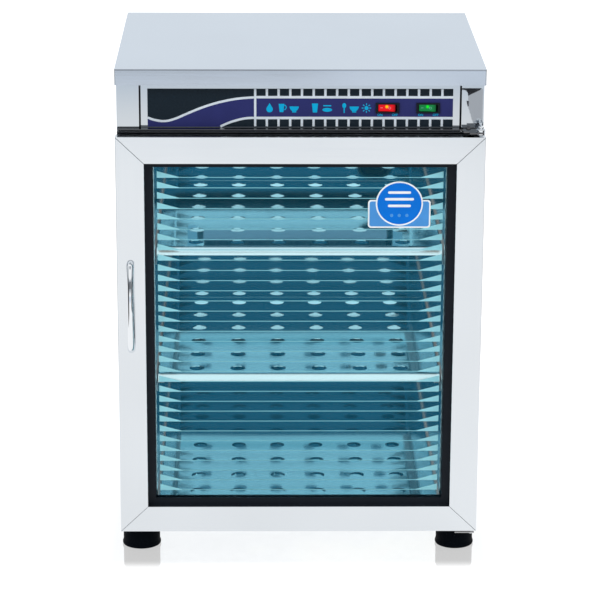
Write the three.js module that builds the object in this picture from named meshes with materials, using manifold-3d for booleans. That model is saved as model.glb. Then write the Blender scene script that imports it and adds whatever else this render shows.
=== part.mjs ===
// Dish sterilizer cabinet: a free-standing steel cabinet with one hinged glass door,
// two perforated shelves, a floor tray, an ultraviolet lamp and a control header.
// Millimetres. X runs to the right, Y to the back, Z up. The origin is on the floor,
// under the centre of the whole object. Inside the cabinet group y = 0 is the door's face.

import * as THREE from 'three';
import { mergeVertices } from 'three/addons/utils/BufferGeometryUtils.js';
import Module from 'manifold-3d';

const manifold = await Module();
manifold.setup();

// Driving dimensions
const cabinetWidth = 478;
const cabinetDepth = 400;
const cabinetHeight = 670;
const footHeight = 36;
const headHeight = 85;
const sheet = 1.2;
const seat = 0.3;
const overrun = 2;

// Door
const doorOverhang = 1;
const doorRise = 2;
const doorDepth = 26;
const doorFaceWidth = 37;
const railFaceHeight = 35.5;
const doorSteelDepth = 16;
const doorReturnDepth = 13.7;
const sightLapSide = 10.5;
const sightLapEnd = 7.7;
const glassLap = 7;
const glassThickness = 4;
const flangeThickness = 3;
const innerFrameInset = 1.8;
const doorGap = 4;
const sealInset = 14;
const sealWidth = 7;

// Door handle
const handleSpan = 116.6;
const handleReach = 24;
const handleEndRadius = 5.2;
const handleWaistRadius = 3.7;
const handleInset = 18;
const handleRise = 44.5;
const studRadius = 2;
const studLength = 9;

// Hinge
const pivotInset = 6;
const pivotDepth = 10;
const pinRadius = 2.5;
const pinHeadRadius = 4.2;
const pinHeadHeight = 1.8;
const pinBarrelRadius = 4.6;
const pinBarrelHeight = 7.4;
const pinNutRadius = 3.4;
const pinNutHeight = 4.8;
const pinReach = 24;
const bushRadius = 4.5;
const bushLength = 18;
const hingePlateThickness = 1.9;
const hingePlateInset = 22.7;
const hingeNose = 7.5;
const hingeTail = 60;
const hingeLegThickness = 1.5;
const hingeLegHeight = 14;

// Cover, header and ledge
const coverLip = 21;
const coverOverhang = 1.6;
const coverFront = 20;
const coverBackGap = 2.5;
const coverRadius = 1.6;
const postWidth = 29.4;
const postReturn = 20;
const postGap = 2.2;
const fasciaSetback = 3.6;
const ledgeFront = 22;
const ledgeLift = 3.5;
const labelThickness = 0.4;
const labelMarginSide = 8.8;
const labelHeight = 50.4;
const labelRise = 0.6;

// Rocker switches
const switchInset = 41.1;
const switchPitch = 53;
const bezelWidth = 31;
const bezelHeight = 14;
const bezelThickness = 2;
const switchBodyWidth = 27.4;
const switchBodyHeight = 11.6;
const switchBodyDepth = 26;
const switchWell = 11;
const rockerLength = 21.6;
const rockerHeight = 9;
const rockerDrop = 7.4;
const rockerTip = 6;
const rockerCrease = 4.6;
const rockerTail = 2;
const rockerTailLength = 14;
const rockerTiltDegrees = 9;
const terminalWidth = 0.8;
const terminalHeight = 6.3;
const terminalLength = 8;

// Chamber and liner
const chamberWall = 48;
const chamberRise = 24;
const chamberHead = 29;
const chamberBackWall = 15;
const linerSheet = 1;
const flangeWidth = 15;

// Shelves and rails
const shelfGap = 2;
const shelfSetback = 10;
const upperRoom = 129;
const trayRise = 13;
const shelfLip = 12;
const holeDiameter = 20;
const holePitch = 55;
const holeRowPitch = 60;
const holeMarginSide = 40;
const holeMarginEnd = 20;
const railWidth = 9.7;
const railHeight = 13;

// Feet
const footRadius = 25;
const footFlare = 1.2;
const footNeck = 1.5;
const footNeckHeight = 3;
const footInset = 24.5;
const footSetback = 25;
const footBossRadius = 5;
const footBossHeight = 6;

// Lamp and its gear
const lampEndRoom = 55;
const tubeRadius = 8;
const capLength = 9;
const capOverlap = 0.6;
const lampPinRadius = 1.2;
const lampPinLength = 6;
const lampPinSpread = 5;
const lampDrop = 24;
const lampSetback = 85;
const holderLength = 14;
const holderWidth = 22;
const holderBelow = 11;
const reflectorWidth = 70;
const reflectorFlat = 30;
const reflectorDepth = 11;
const ballastLength = 90;
const ballastWidth = 42;
const ballastHeight = 30;
const ballastFoot = 12;
const ballastPlace = 60;
const gearSetback = 170;
const socketLength = 36;
const socketWidth = 26;
const socketHeight = 10;
const starterPlace = -40;
const starterRadius = 10.5;
const starterHeight = 34;
const starterCollar = 4;
const terminalBlockInset = 89;
const blockLength = 46;
const blockWidth = 20;
const blockHeight = 17;
const blockWellRadius = 2.6;
const blockWellDepth = 9;
const blockWays = 3;

// Back panel and gland
const slotLength = 70;
const slotHeight = 4;
const slotPitch = 10;
const slotCount = 4;
const slotInset = 149;
const glandInset = 59;
const glandRadius = 7;
const glandFlange = 11;
const glandFlangeThickness = 4;
const glandInside = 10;
const glandBore = 3.6;

// Door switch
const doorSwitchInset = 30;
const doorSwitchDrop = 60;
const doorSwitchWidth = 20;
const doorSwitchHeight = 26;
const doorSwitchDepth = 24;
const plungerRadius = 3;
const plungerWell = 12;
const plungerClear = 0.5;

// Facets on round forms
const roundSides = 24;
const holeSides = 12;
const smallSides = 12;

// Places worked out from the driving dimensions
const halfWidth = cabinetWidth / 2;
const insideHalf = halfWidth - sheet - seat;
const bodyFront = doorDepth + doorGap;
const bodyBack = cabinetDepth;
const shellFront = bodyFront + sheet + seat;
const shellBack = bodyBack - sheet - seat;
const bodyBottom = footHeight;
const bodyTop = cabinetHeight - sheet - seat;
const doorBottom = footHeight + doorRise;
const doorTop = cabinetHeight - headHeight;
const doorWidth = cabinetWidth + 2 * doorOverhang;
const doorHalf = doorWidth / 2;
const ledgeBottom = doorTop + ledgeLift;
const ledgeTop = ledgeBottom + hingePlateThickness;
const deckTop = ledgeBottom - seat;
const deckBottom = deckTop - sheet;
const frameTop = deckBottom - seat;
const headerBottom = ledgeTop + seat;
const fasciaFront = bodyFront + fasciaSetback;
const fasciaHalf = halfWidth - postWidth - postGap;
const labelBottom = headerBottom + labelRise;
const labelTop = labelBottom + labelHeight;
const labelFront = fasciaFront - seat - labelThickness;
const switchHeight = (labelBottom + labelTop) / 2;
const bezelBack = labelFront - seat;
const bezelFront = bezelBack - bezelThickness;
const chamberHalf = halfWidth - chamberWall;
const chamberFloor = bodyBottom + chamberRise;
const chamberCeiling = doorTop - chamberHead;
const chamberBack = cabinetDepth - chamberBackWall;
const trayTop = chamberFloor + trayRise;
const shelfPitch = (chamberCeiling - upperRoom - trayTop) / 2;
const shelfHalf = chamberHalf - shelfGap;
const shelfFront = bodyFront + shelfSetback;
const shelfBack = chamberBack - seat;
const holeColumns = 1 + Math.floor(2 * (shelfHalf - holeMarginSide) / holePitch);
const holeRows = 1 + Math.floor((shelfBack - shelfFront - 2 * holeMarginEnd) / holeRowPitch);
const pivotX = doorHalf - pivotInset;
const glassFront = doorReturnDepth + seat + flangeThickness + seat;
const glassBack = glassFront + glassThickness;
const glassHalf = doorHalf - doorFaceWidth + glassLap;
const sightHalf = doorHalf - doorFaceWidth - sightLapSide;
const handleX = -doorHalf + handleInset;
const handleHeight = (doorBottom + doorTop) / 2 + handleRise;
const bushHole = pinRadius + seat;
const lampHeight = chamberCeiling - lampDrop;
const lampDepth = chamberBack - lampSetback;
const tubeLength = 2 * (chamberHalf - lampEndRoom);
const gearDepth = cabinetDepth - gearSetback;
const slotPlace = halfWidth - slotInset;
const glandPlace = -halfWidth + glandInset;
const terminalBlockPlace = -halfWidth + terminalBlockInset;
const switchPlaces = {
  rocker_power: fasciaHalf - switchInset - switchPitch,
  rocker_lamp: fasciaHalf - switchInset,
};

// Overall depth: the handle in front and the gland behind count in it
const frontReach = seat + handleReach + handleWaistRadius;
const backReach = cabinetDepth + seat + glandFlangeThickness;
const cabinet = new THREE.Group();
cabinet.position.y = (frontReach - backReach) / 2;

// Materials
function finish(colour, roughness, metalness) {
  return new THREE.MeshStandardMaterial({ color: colour, roughness, metalness });
}
const satinSteel = finish(0xd2d8dd, 0.35, 1);
const polishedSteel = finish(0xe2e7ea, 0.08, 1);
const plainSteel = finish(0xb4babf, 0.5, 1);
const chrome = finish(0xe8ecef, 0.05, 1);
const blackPlastic = finish(0x15181c, 0.45, 0);
const blackRubber = finish(0x111213, 0.8, 0);
const greySeal = finish(0x3a3e42, 0.75, 0);
const tintedGlass = finish(0x2f7f93, 0.05, 0);
const navyFilm = finish(0x1b2630, 0.3, 0);
const redLens = finish(0xd8211c, 0.2, 0);
const greenLens = finish(0x1fae4a, 0.2, 0);
const lampGlass = finish(0xdfe8ff, 0.1, 0);
const whitePlastic = finish(0xe9e9e4, 0.5, 0);
const aluminium = finish(0xc9ccce, 0.4, 1);

// Shape helpers
function block(x0, x1, y0, y1, z0, z1) {
  const geometry = new THREE.BoxGeometry(x1 - x0, y1 - y0, z1 - z0);
  geometry.translate((x0 + x1) / 2, (y0 + y1) / 2, (z0 + z1) / 2);
  return geometry;
}

function rod(axis, radius, from, to, sides) {
  const geometry = new THREE.CylinderGeometry(radius, radius, to - from, sides);
  if (axis === 'x') {
    geometry.rotateZ(-Math.PI / 2);
    geometry.translate((from + to) / 2, 0, 0);
  } else if (axis === 'y') {
    geometry.translate(0, (from + to) / 2, 0);
  } else {
    geometry.rotateX(Math.PI / 2);
    geometry.translate(0, 0, (from + to) / 2);
  }
  return geometry;
}

// A lathed form standing on its axis along Z, from pairs of radius and height
function turned(profile, sides) {
  const points = profile.map(([radius, height]) => new THREE.Vector2(radius, height));
  const geometry = new THREE.LatheGeometry(points, sides);
  geometry.rotateX(Math.PI / 2);
  return geometry;
}

// A plan outline in X and Y raised from one height to another
function raised(outline, z0, z1) {
  const shape = new THREE.Shape(outline.map(([x, y]) => new THREE.Vector2(x, y)));
  const geometry = new THREE.ExtrudeGeometry(shape, { depth: z1 - z0, bevelEnabled: false });
  geometry.translate(0, 0, z0);
  return geometry;
}

function toSolid(geometry) {
  const bare = geometry.clone();
  bare.deleteAttribute('normal');
  bare.deleteAttribute('uv');
  const merged = mergeVertices(bare);
  return new manifold.Manifold(new manifold.Mesh({
    numProp: 3,
    vertProperties: new Float32Array(merged.attributes.position.array),
    triVerts: new Uint32Array(merged.index.array),
  }));
}

function fromSolid(solid) {
  const mesh = solid.getMesh();
  const geometry = new THREE.BufferGeometry();
  geometry.setAttribute('position', new THREE.BufferAttribute(new Float32Array(mesh.vertProperties), 3));
  geometry.setIndex(new THREE.BufferAttribute(new Uint32Array(mesh.triVerts), 1));
  geometry.computeVertexNormals();
  return geometry;
}

function cut(geometry, cutters) {
  let solid = toSolid(geometry);
  for (const cutter of cutters) {
    solid = solid.subtract(toSolid(cutter));
  }
  return fromSolid(solid);
}

function join(geometries) {
  let solid = toSolid(geometries[0]);
  for (const geometry of geometries.slice(1)) {
    solid = solid.add(toSolid(geometry));
  }
  return fromSolid(solid);
}

function moved(geometry, x, y, z) {
  geometry.translate(x, y, z);
  return geometry;
}

function add(name, geometry, material) {
  const mesh = new THREE.Mesh(geometry, material);
  mesh.name = name;
  cabinet.add(mesh);
  return mesh;
}

// A rectangular ring lying in the door's plane, with its outer and inner half sizes
function ring(outerHalf, outerBottom, outerTop, innerHalf, innerBottom, innerTop, y0, y1) {
  const body = block(-outerHalf, outerHalf, y0, y1, outerBottom, outerTop);
  const opening = block(-innerHalf, innerHalf, y0 - overrun, y1 + overrun, innerBottom, innerTop);
  return cut(body, [opening]);
}

// Outer shell

function coverOutline(inset) {
  const half = halfWidth + coverOverhang - inset;
  const front = coverFront + inset;
  const back = cabinetDepth + coverBackGap - inset;
  const radius = coverRadius - inset;
  const shape = new THREE.Shape();
  shape.moveTo(-half + radius, front);
  shape.lineTo(half - radius, front);
  shape.absarc(half - radius, front + radius, radius, -Math.PI / 2, 0, false);
  shape.absarc(half - radius, back - radius, radius, 0, Math.PI / 2, false);
  shape.absarc(-half + radius, back - radius, radius, Math.PI / 2, Math.PI, false);
  shape.absarc(-half + radius, front + radius, radius, Math.PI, Math.PI * 1.5, false);
  return shape;
}

function topCover() {
  const outer = new THREE.ExtrudeGeometry(coverOutline(0),
    { depth: coverLip, bevelEnabled: false, curveSegments: 6 });
  outer.translate(0, 0, cabinetHeight - coverLip);
  const inner = new THREE.ExtrudeGeometry(coverOutline(sheet),
    { depth: coverLip, bevelEnabled: false, curveSegments: 6 });
  inner.translate(0, 0, cabinetHeight - coverLip - sheet);
  return cut(outer, [inner]);
}

// A side panel is folded in at the front and the back; side is -1 on the left, 1 on the right
function sidePanel(side) {
  const outer = side * halfWidth;
  const inner = side * (halfWidth - sheet);
  const fold = side * (halfWidth - flangeWidth);
  const outline = [
    [outer, shellFront], [fold, shellFront], [fold, shellFront + sheet], [inner, shellFront + sheet],
    [inner, shellBack - sheet], [fold, shellBack - sheet], [fold, shellBack], [outer, shellBack],
  ];
  const notchNear = side * (halfWidth - flangeWidth - overrun);
  const notch = block(Math.min(notchNear, inner), Math.max(notchNear, inner),
    bodyFront, shellFront + sheet + overrun, deckTop, headerBottom);
  return cut(raised(side < 0 ? outline.reverse() : outline, bodyBottom, bodyTop), [notch]);
}

function backPanel() {
  const front = shellBack + seat;
  const plate = block(-insideHalf, insideHalf, front, bodyBack, bodyBottom, bodyTop);
  const cutters = [moved(rod('y', glandRadius + seat, front - overrun, bodyBack + overrun, roundSides),
    glandPlace, 0, glandHeight)];
  for (const side of [-1, 1]) {
    for (let row = 0; row < slotCount; row += 1) {
      const low = slotBottom + row * slotPitch;
      const near = side * slotPlace;
      cutters.push(block(near - slotLength / 2, near + slotLength / 2,
        front - overrun, bodyBack + overrun, low, low + slotHeight));
    }
  }
  return cut(plate, cutters);
}

function basePan() {
  const front = shellFront + sheet + seat;
  const back = shellBack - sheet - seat;
  const rim = bodyBottom + flangeWidth;
  const pan = block(-insideHalf, insideHalf, front, back, bodyBottom, rim);
  const hollow = block(-insideHalf + sheet, insideHalf - sheet, front + sheet, back - sheet,
    bodyBottom + sheet, rim + overrun);
  const bolts = footPlaces.map(({ x, y }) => moved(
    rod('z', footBossRadius + seat, bodyBottom - overrun, bodyBottom + sheet + overrun, smallSides), x, y, 0));
  return cut(pan, [hollow, ...bolts]);
}

function frontFrame() {
  const plate = ring(halfWidth, bodyBottom, frameTop, chamberHalf, chamberFloor, chamberCeiling,
    bodyFront, bodyFront + sheet);
  const foldHalf = halfWidth - flangeWidth - seat;
  const fold = block(-foldHalf, foldHalf, bodyFront, bodyFront + flangeWidth, frameTop - sheet, frameTop);
  const hole = moved(rod('y', plungerRadius + seat, bodyFront - overrun, shellFront + overrun, smallSides),
    doorSwitchX, 0, doorSwitchZ);
  return cut(join([plate, fold]), [hole]);
}

function componentDeck() {
  const front = shellFront + sheet + seat;
  const back = shellBack - sheet - seat;
  return block(-insideHalf, insideHalf, front, back, deckBottom, deckTop);
}

function headerPost(side) {
  const outer = side * halfWidth;
  const edge = side * (halfWidth - postWidth);
  const inner = side * (halfWidth - postWidth + sheet);
  const back = bodyFront + postReturn;
  const outline = [
    [outer, bodyFront], [edge, bodyFront], [edge, back], [inner, back],
    [inner, bodyFront + sheet], [outer, bodyFront + sheet],
  ];
  return raised(side < 0 ? outline.reverse() : outline, headerBottom, bodyTop);
}

// The cut-outs for the two switches, wider than the switch body by one clearance
function switchCutouts(clearance, y0, y1) {
  const halfX = switchBodyWidth / 2 + clearance;
  const halfZ = switchBodyHeight / 2 + clearance;
  return Object.values(switchPlaces).map((x) => block(x - halfX, x + halfX, y0 - overrun, y1 + overrun,
    switchHeight - halfZ, switchHeight + halfZ));
}

function controlFascia() {
  const front = fasciaFront;
  const back = fasciaFront + sheet;
  const plate = block(-fasciaHalf, fasciaHalf, front, back, headerBottom, bodyTop);
  const footFold = block(-fasciaHalf, fasciaHalf, front, front + flangeWidth, headerBottom, headerBottom + sheet);
  const headFold = block(-fasciaHalf, fasciaHalf, front, front + flangeWidth, bodyTop - sheet, bodyTop);
  return cut(join([plate, footFold, headFold]), switchCutouts(seat, front, back));
}

function controlLabel() {
  const half = fasciaHalf - labelMarginSide;
  const back = labelFront + labelThickness;
  const film = block(-half, half, labelFront, back, labelBottom, labelTop);
  return cut(film, switchCutouts(seat, labelFront, back));
}

function frontLedge() {
  const right = halfWidth - postWidth - seat;
  return block(-insideHalf, right, ledgeFront, hingeTail, ledgeBottom, ledgeTop);
}

// Chamber

function liners() {
  const front = shellFront;
  const back = chamberBack - seat;
  const low = chamberFloor - linerSheet;
  const high = chamberCeiling + linerSheet;
  const sideHalf = chamberHalf + linerSheet;
  add('liner_left', block(-sideHalf, -chamberHalf, front, back, low, high), polishedSteel);
  add('liner_right', block(chamberHalf, sideHalf, front, back, low, high), polishedSteel);
  add('liner_back', block(-sideHalf, sideHalf, chamberBack, chamberBack + linerSheet, low, high), polishedSteel);
  const flatHalf = chamberHalf - seat;
  const holderHoles = [-1, 1].map((side) => moved(
    rod('z', lampPinRadius + seat, chamberCeiling - overrun, high + overrun, smallSides),
    side * holderMiddle, lampDepth, 0));
  const ceiling = cut(block(-flatHalf, flatHalf, front, back, chamberCeiling, high), holderHoles);
  add('liner_ceiling', ceiling, polishedSteel);
  add('liner_floor', block(-flatHalf, flatHalf, front, back, low, chamberFloor), polishedSteel);
}

// A shelf is a perforated plate with a lip turned down all round
function shelf(top, lip) {
  const plate = block(-shelfHalf, shelfHalf, shelfFront, shelfBack, top - lip, top);
  const hollow = block(-shelfHalf + sheet, shelfHalf - sheet, shelfFront + sheet, shelfBack - sheet,
    top - lip - overrun, top - sheet);
  const holes = [];
  const middle = (shelfFront + shelfBack) / 2;
  for (let column = 0; column < holeColumns; column += 1) {
    for (let row = 0; row < holeRows; row += 1) {
      const x = (column - (holeColumns - 1) / 2) * holePitch;
      const y = middle + (row - (holeRows - 1) / 2) * holeRowPitch;
      holes.push(moved(rod('z', holeDiameter / 2, top - sheet - overrun, top + overrun, holeSides), x, y, 0));
    }
  }
  return cut(plate, [hollow, ...holes]);
}

// A rail is an angle on the side liner; the shelf's lip rests on its upper leg
function shelfRail(side, shelfTop) {
  const top = shelfTop - shelfLip - seat;
  const wall = side * (chamberHalf - seat);
  const inside = side * (chamberHalf - seat - sheet);
  const tip = side * (chamberHalf - seat - railWidth);
  const front = shelfFront;
  const back = shelfBack - seat;
  const leg = block(Math.min(wall, inside), Math.max(wall, inside), front, back, top - railHeight, top);
  const shelfLeg = block(Math.min(wall, tip), Math.max(wall, tip), front, back, top - sheet, top);
  return join([leg, shelfLeg]);
}

// Feet: a rubber cylinder, flared at the floor and necked under the pan, with a boss in the pan
function foot() {
  const top = bodyBottom - seat;
  return turned([
    [0, 0], [footRadius + footFlare, 0], [footRadius + footFlare, footNeckHeight],
    [footRadius, footNeckHeight * 2], [footRadius, top - footNeckHeight],
    [footRadius - footNeck, top - footNeckHeight], [footRadius - footNeck, top],
    [footBossRadius, top], [footBossRadius, top + footBossHeight], [0, top + footBossHeight],
  ], roundSides);
}

// Lamp: tube, two caps with pins, two holders and a folded reflector

function lampCap(side) {
  const inner = side * (tubeLength / 2 + seat);
  const outer = side * (tubeLength / 2 + seat + capLength);
  const tip = side * (tubeLength / 2 + seat + capLength + lampPinLength);
  const sleeve = rod('x', tubeRadius + capOverlap, Math.min(inner, outer), Math.max(inner, outer), roundSides);
  const pinRoot = outer - side * overrun;
  const pins = [-1, 1].map((row) => moved(
    rod('x', lampPinRadius, Math.min(pinRoot, tip), Math.max(pinRoot, tip), smallSides),
    0, 0, row * lampPinSpread / 2));
  return moved(join([sleeve, ...pins]), 0, lampDepth, lampHeight);
}

function lampholder(side) {
  const near = side * (tubeLength / 2 + seat + capLength + seat);
  const far = near + side * holderLength;
  const body = block(Math.min(near, far), Math.max(near, far), lampDepth - holderWidth / 2,
    lampDepth + holderWidth / 2, lampHeight - holderBelow, chamberCeiling - seat);
  const stud = moved(rod('z', lampPinRadius, chamberCeiling - seat - overrun,
    chamberCeiling + linerSheet + seat, smallSides), side * holderMiddle, lampDepth, 0);
  const pinEnd = near + side * (lampPinLength + seat);
  const slotX = [near - side * overrun, pinEnd];
  const slotReach = lampPinSpread / 2 + lampPinRadius + seat;
  const slot = block(Math.min(...slotX), Math.max(...slotX), lampDepth - lampPinRadius - seat,
    lampDepth + lampPinRadius + seat, lampHeight - slotReach, lampHeight + slotReach);
  return cut(join([body, stud]), [slot]);
}

function lampReflector() {
  const top = chamberCeiling - seat;
  const low = top - reflectorDepth;
  const half = reflectorWidth / 2;
  const flat = reflectorFlat / 2;
  const outline = [
    [-half, low], [-flat, top], [flat, top], [half, low],
    [half - sheet, low], [flat - sheet / 2, top - sheet], [-flat + sheet / 2, top - sheet], [-half + sheet, low],
  ];
  const shape = new THREE.Shape(outline.map(([y, z]) => new THREE.Vector2(y, z)));
  const geometry = new THREE.ExtrudeGeometry(shape, { depth: tubeLength, bevelEnabled: false });
  // The outline's two axes become Y and Z, and the length runs along X
  geometry.applyMatrix4(new THREE.Matrix4().makeBasis(
    new THREE.Vector3(0, 1, 0), new THREE.Vector3(0, 0, 1), new THREE.Vector3(1, 0, 0)));
  return moved(geometry, -tubeLength / 2, lampDepth, 0);
}

// Gear on the component deck

function ballast() {
  const low = deckTop + seat;
  const core = block(ballastPlace - ballastLength / 2, ballastPlace + ballastLength / 2,
    gearDepth - ballastWidth / 2, gearDepth + ballastWidth / 2, low, low + ballastHeight);
  const reach = ballastLength / 2 + ballastFoot;
  const plate = block(ballastPlace - reach, ballastPlace + reach,
    gearDepth - ballastWidth / 2, gearDepth + ballastWidth / 2, low, low + sheet);
  return join([core, plate]);
}

function starterSocket() {
  const low = deckTop + seat;
  const body = block(starterPlace - socketLength / 2, starterPlace + socketLength / 2,
    gearDepth - socketWidth / 2, gearDepth + socketWidth / 2, low, low + socketHeight);
  const well = moved(rod('z', starterRadius + seat, low + socketHeight - starterCollar,
    low + socketHeight + overrun, roundSides), starterPlace, gearDepth, 0);
  return cut(body, [well]);
}

function starter() {
  const low = deckTop + seat + socketHeight - starterCollar + seat;
  return moved(rod('z', starterRadius, low, low + starterHeight, roundSides), starterPlace, gearDepth, 0);
}

function terminalBlock() {
  const low = deckTop + seat;
  const body = block(terminalBlockPlace - blockLength / 2, terminalBlockPlace + blockLength / 2,
    gearDepth - blockWidth / 2, gearDepth + blockWidth / 2, low, low + blockHeight);
  const wells = [];
  for (let way = 0; way < blockWays; way += 1) {
    const x = terminalBlockPlace + (way - (blockWays - 1) / 2) * blockLength / blockWays;
    wells.push(moved(rod('z', blockWellRadius, low + blockHeight - blockWellDepth,
      low + blockHeight + overrun, smallSides), x, gearDepth, 0));
  }
  return cut(body, wells);
}

function cordGland() {
  const tail = shellBack + seat - glandInside;
  const profile = [
    [glandBore, tail], [glandRadius, tail], [glandRadius, bodyBack + seat],
    [glandFlange, bodyBack + seat], [glandFlange, bodyBack + seat + glandFlangeThickness],
    [glandBore, bodyBack + seat + glandFlangeThickness], [glandBore, tail],
  ];
  const geometry = turned(profile, roundSides);
  geometry.rotateX(-Math.PI / 2);
  return moved(geometry, glandPlace, 0, glandHeight);
}

// Rocker switches

function switchHousing(x) {
  const bodyHalfX = switchBodyWidth / 2;
  const bodyHalfZ = switchBodyHeight / 2;
  const back = bezelBack + switchBodyDepth;
  const flange = block(x - bezelWidth / 2, x + bezelWidth / 2, bezelFront, bezelBack,
    switchHeight - bezelHeight / 2, switchHeight + bezelHeight / 2);
  const body = block(x - bodyHalfX, x + bodyHalfX, bezelFront, back,
    switchHeight - bodyHalfZ, switchHeight + bodyHalfZ);
  const wellHalfX = rockerLength / 2 + rockerTip * Math.sin(rockerTilt) + seat * 2;
  const wellHalfZ = rockerHeight / 2 + seat;
  const well = block(x - wellHalfX, x + wellHalfX, bezelFront - overrun, bezelFront + switchWell,
    switchHeight - wellHalfZ, switchHeight + wellHalfZ);
  const tabs = [-1, 0, 1].map((place) => {
    const tabX = x + place * switchBodyWidth / 3;
    return block(tabX - terminalWidth / 2, tabX + terminalWidth / 2, back - overrun, back + terminalLength,
      switchHeight - terminalHeight / 2, switchHeight + terminalHeight / 2);
  });
  return cut(join([flange, body, ...tabs]), [well]);
}

// The rocker turns about an upright axis; pressed in on its left it is on
function rocker() {
  const half = rockerLength / 2;
  const tail = rockerTailLength / 2;
  return raised([
    [-half, -rockerTip], [0, -rockerCrease], [half, -rockerTip], [half, -rockerCrease + rockerTail],
    [tail, rockerTail], [-tail, rockerTail], [-half, -rockerCrease + rockerTail],
  ], -rockerHeight / 2, rockerHeight / 2);
}

// Door

// One folded member of the door's steel frame, mitred at both ends. In its own frame the
// member lies along X, its outer edge is z = 0 and its face is y = 0. Its mitre meets a crossing
// member whose face may be a little wider or narrower.
function doorMember(length, face, crossingFace) {
  const inner = face;
  const section = new THREE.Shape([
    [0, 0], [inner, 0], [inner, doorReturnDepth], [inner - sheet, doorReturnDepth],
    [inner - sheet, sheet], [sheet, sheet], [sheet, doorSteelDepth], [0, doorSteelDepth],
  ].map(([across, deep]) => new THREE.Vector2(across, deep)));
  const geometry = new THREE.ExtrudeGeometry(section, { depth: length, bevelEnabled: false });
  const place = geometry.attributes.position;
  for (let index = 0; index < place.count; index += 1) {
    const across = place.getX(index);
    const deep = place.getY(index);
    const end = place.getZ(index) > length / 2 ? -1 : 1;
    const mitre = across * crossingFace / face;
    place.setXYZ(index, end * (length / 2 - mitre - seat / 2), deep, across);
  }
  return geometry;
}

function doorFrame() {
  const height = doorTop - doorBottom;
  const middle = (doorTop + doorBottom) / 2;
  const pivotHole = (z0, z1) => moved(rod('z', bushHole, z0 - overrun, z1 + overrun, smallSides),
    pivotX, pivotDepth, 0);
  const studHoles = [-1, 1].map((side) => moved(
    rod('y', studRadius + seat, -overrun, sheet + overrun, smallSides),
    handleX, 0, handleHeight + side * handleSpan / 2));

  const rail = () => doorMember(doorWidth, railFaceHeight, doorFaceWidth);
  const stile = () => doorMember(height, doorFaceWidth, railFaceHeight);
  const bottom = moved(rail(), 0, 0, doorBottom);
  const top = moved(rail().rotateY(Math.PI), 0, 0, doorTop);
  const left = moved(stile().rotateY(Math.PI / 2), -doorHalf, 0, middle);
  const right = moved(stile().rotateY(-Math.PI / 2), doorHalf, 0, middle);
  add('door_rail_bottom', cut(bottom, [pivotHole(doorBottom, doorBottom + sheet)]), satinSteel);
  add('door_rail_top', cut(top, [pivotHole(doorTop - sheet, doorTop)]), satinSteel);
  add('door_stile_left', cut(left, studHoles), satinSteel);
  add('door_stile_right', right, satinSteel);
}

// The plastic frame behind the steel carries the glass; its flange is the dark border seen inside it
function doorInnerFrame() {
  const outer = doorHalf - innerFrameInset;
  const low = doorBottom + innerFrameInset;
  const high = doorTop - innerFrameInset;
  const pocketLow = doorBottom + railFaceHeight - glassLap - seat;
  const pocketHigh = doorTop - railFaceHeight + glassLap + seat;
  const body = ring(outer, low, high, glassHalf + seat, pocketLow, pocketHigh,
    doorSteelDepth + seat, doorDepth);
  const flangeFront = doorReturnDepth + seat;
  const flangeOuter = glassHalf + seat + flangeThickness;
  const flange = ring(flangeOuter, pocketLow - flangeThickness, pocketHigh + flangeThickness,
    sightHalf, sightBottom, sightTop, flangeFront, flangeFront + flangeThickness);
  const neck = ring(flangeOuter, pocketLow - flangeThickness, pocketHigh + flangeThickness,
    glassHalf + seat, pocketLow, pocketHigh, flangeFront, doorDepth);
  return join([body, neck, flange]);
}

function doorGlass() {
  return block(-glassHalf, glassHalf, glassFront, glassBack,
    doorBottom + railFaceHeight - glassLap, doorTop - railFaceHeight + glassLap);
}

function glassRetainer() {
  return ring(glassHalf, doorBottom + railFaceHeight - glassLap, doorTop - railFaceHeight + glassLap,
    sightHalf, sightBottom, sightTop, glassBack + seat, doorDepth);
}

function doorSeal() {
  const outer = doorHalf - sealInset;
  return ring(outer, doorBottom + sealInset, doorTop - sealInset,
    outer - sealWidth, doorBottom + sealInset + sealWidth, doorTop - sealInset - sealWidth,
    doorDepth + seat, bodyFront - seat);
}

// A bowed bar, thin at its waist, that follows half an ellipse from stud to stud
function doorHandle() {
  const steps = 20;
  const sides = 12;
  const positions = [];
  const index = [];
  for (let step = 0; step <= steps; step += 1) {
    const angle = Math.PI * step / steps;
    const centre = new THREE.Vector3(0, -seat - handleReach * Math.sin(angle), handleSpan / 2 * Math.cos(angle));
    const along = new THREE.Vector3(0, -handleReach * Math.cos(angle), -handleSpan / 2 * Math.sin(angle)).normalize();
    const side = new THREE.Vector3(1, 0, 0);
    const out = new THREE.Vector3().crossVectors(along, side);
    const radius = handleWaistRadius + (handleEndRadius - handleWaistRadius) * Math.cos(angle) ** 2;
    for (let spoke = 0; spoke < sides; spoke += 1) {
      const turn = 2 * Math.PI * spoke / sides;
      const point = centre.clone().addScaledVector(side, radius * Math.cos(turn))
        .addScaledVector(out, radius * Math.sin(turn));
      positions.push(point.x, point.y, point.z);
    }
  }
  for (let step = 0; step < steps; step += 1) {
    for (let spoke = 0; spoke < sides; spoke += 1) {
      const a = step * sides + spoke;
      const b = step * sides + (spoke + 1) % sides;
      index.push(a, b, a + sides, b, b + sides, a + sides);
    }
  }
  for (let spoke = 1; spoke < sides - 1; spoke += 1) {
    const last = steps * sides;
    index.push(0, spoke + 1, spoke, last, last + spoke, last + spoke + 1);
  }
  const bow = new THREE.BufferGeometry();
  bow.setAttribute('position', new THREE.Float32BufferAttribute(positions, 3));
  bow.setIndex(index);
  const studs = [-1, 1].map((side) => moved(
    rod('y', studRadius, -seat - overrun, studLength, smallSides), 0, 0, side * handleSpan / 2));
  return moved(join([bow, ...studs]), handleX, 0, handleHeight);
}

// Hinge

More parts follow.
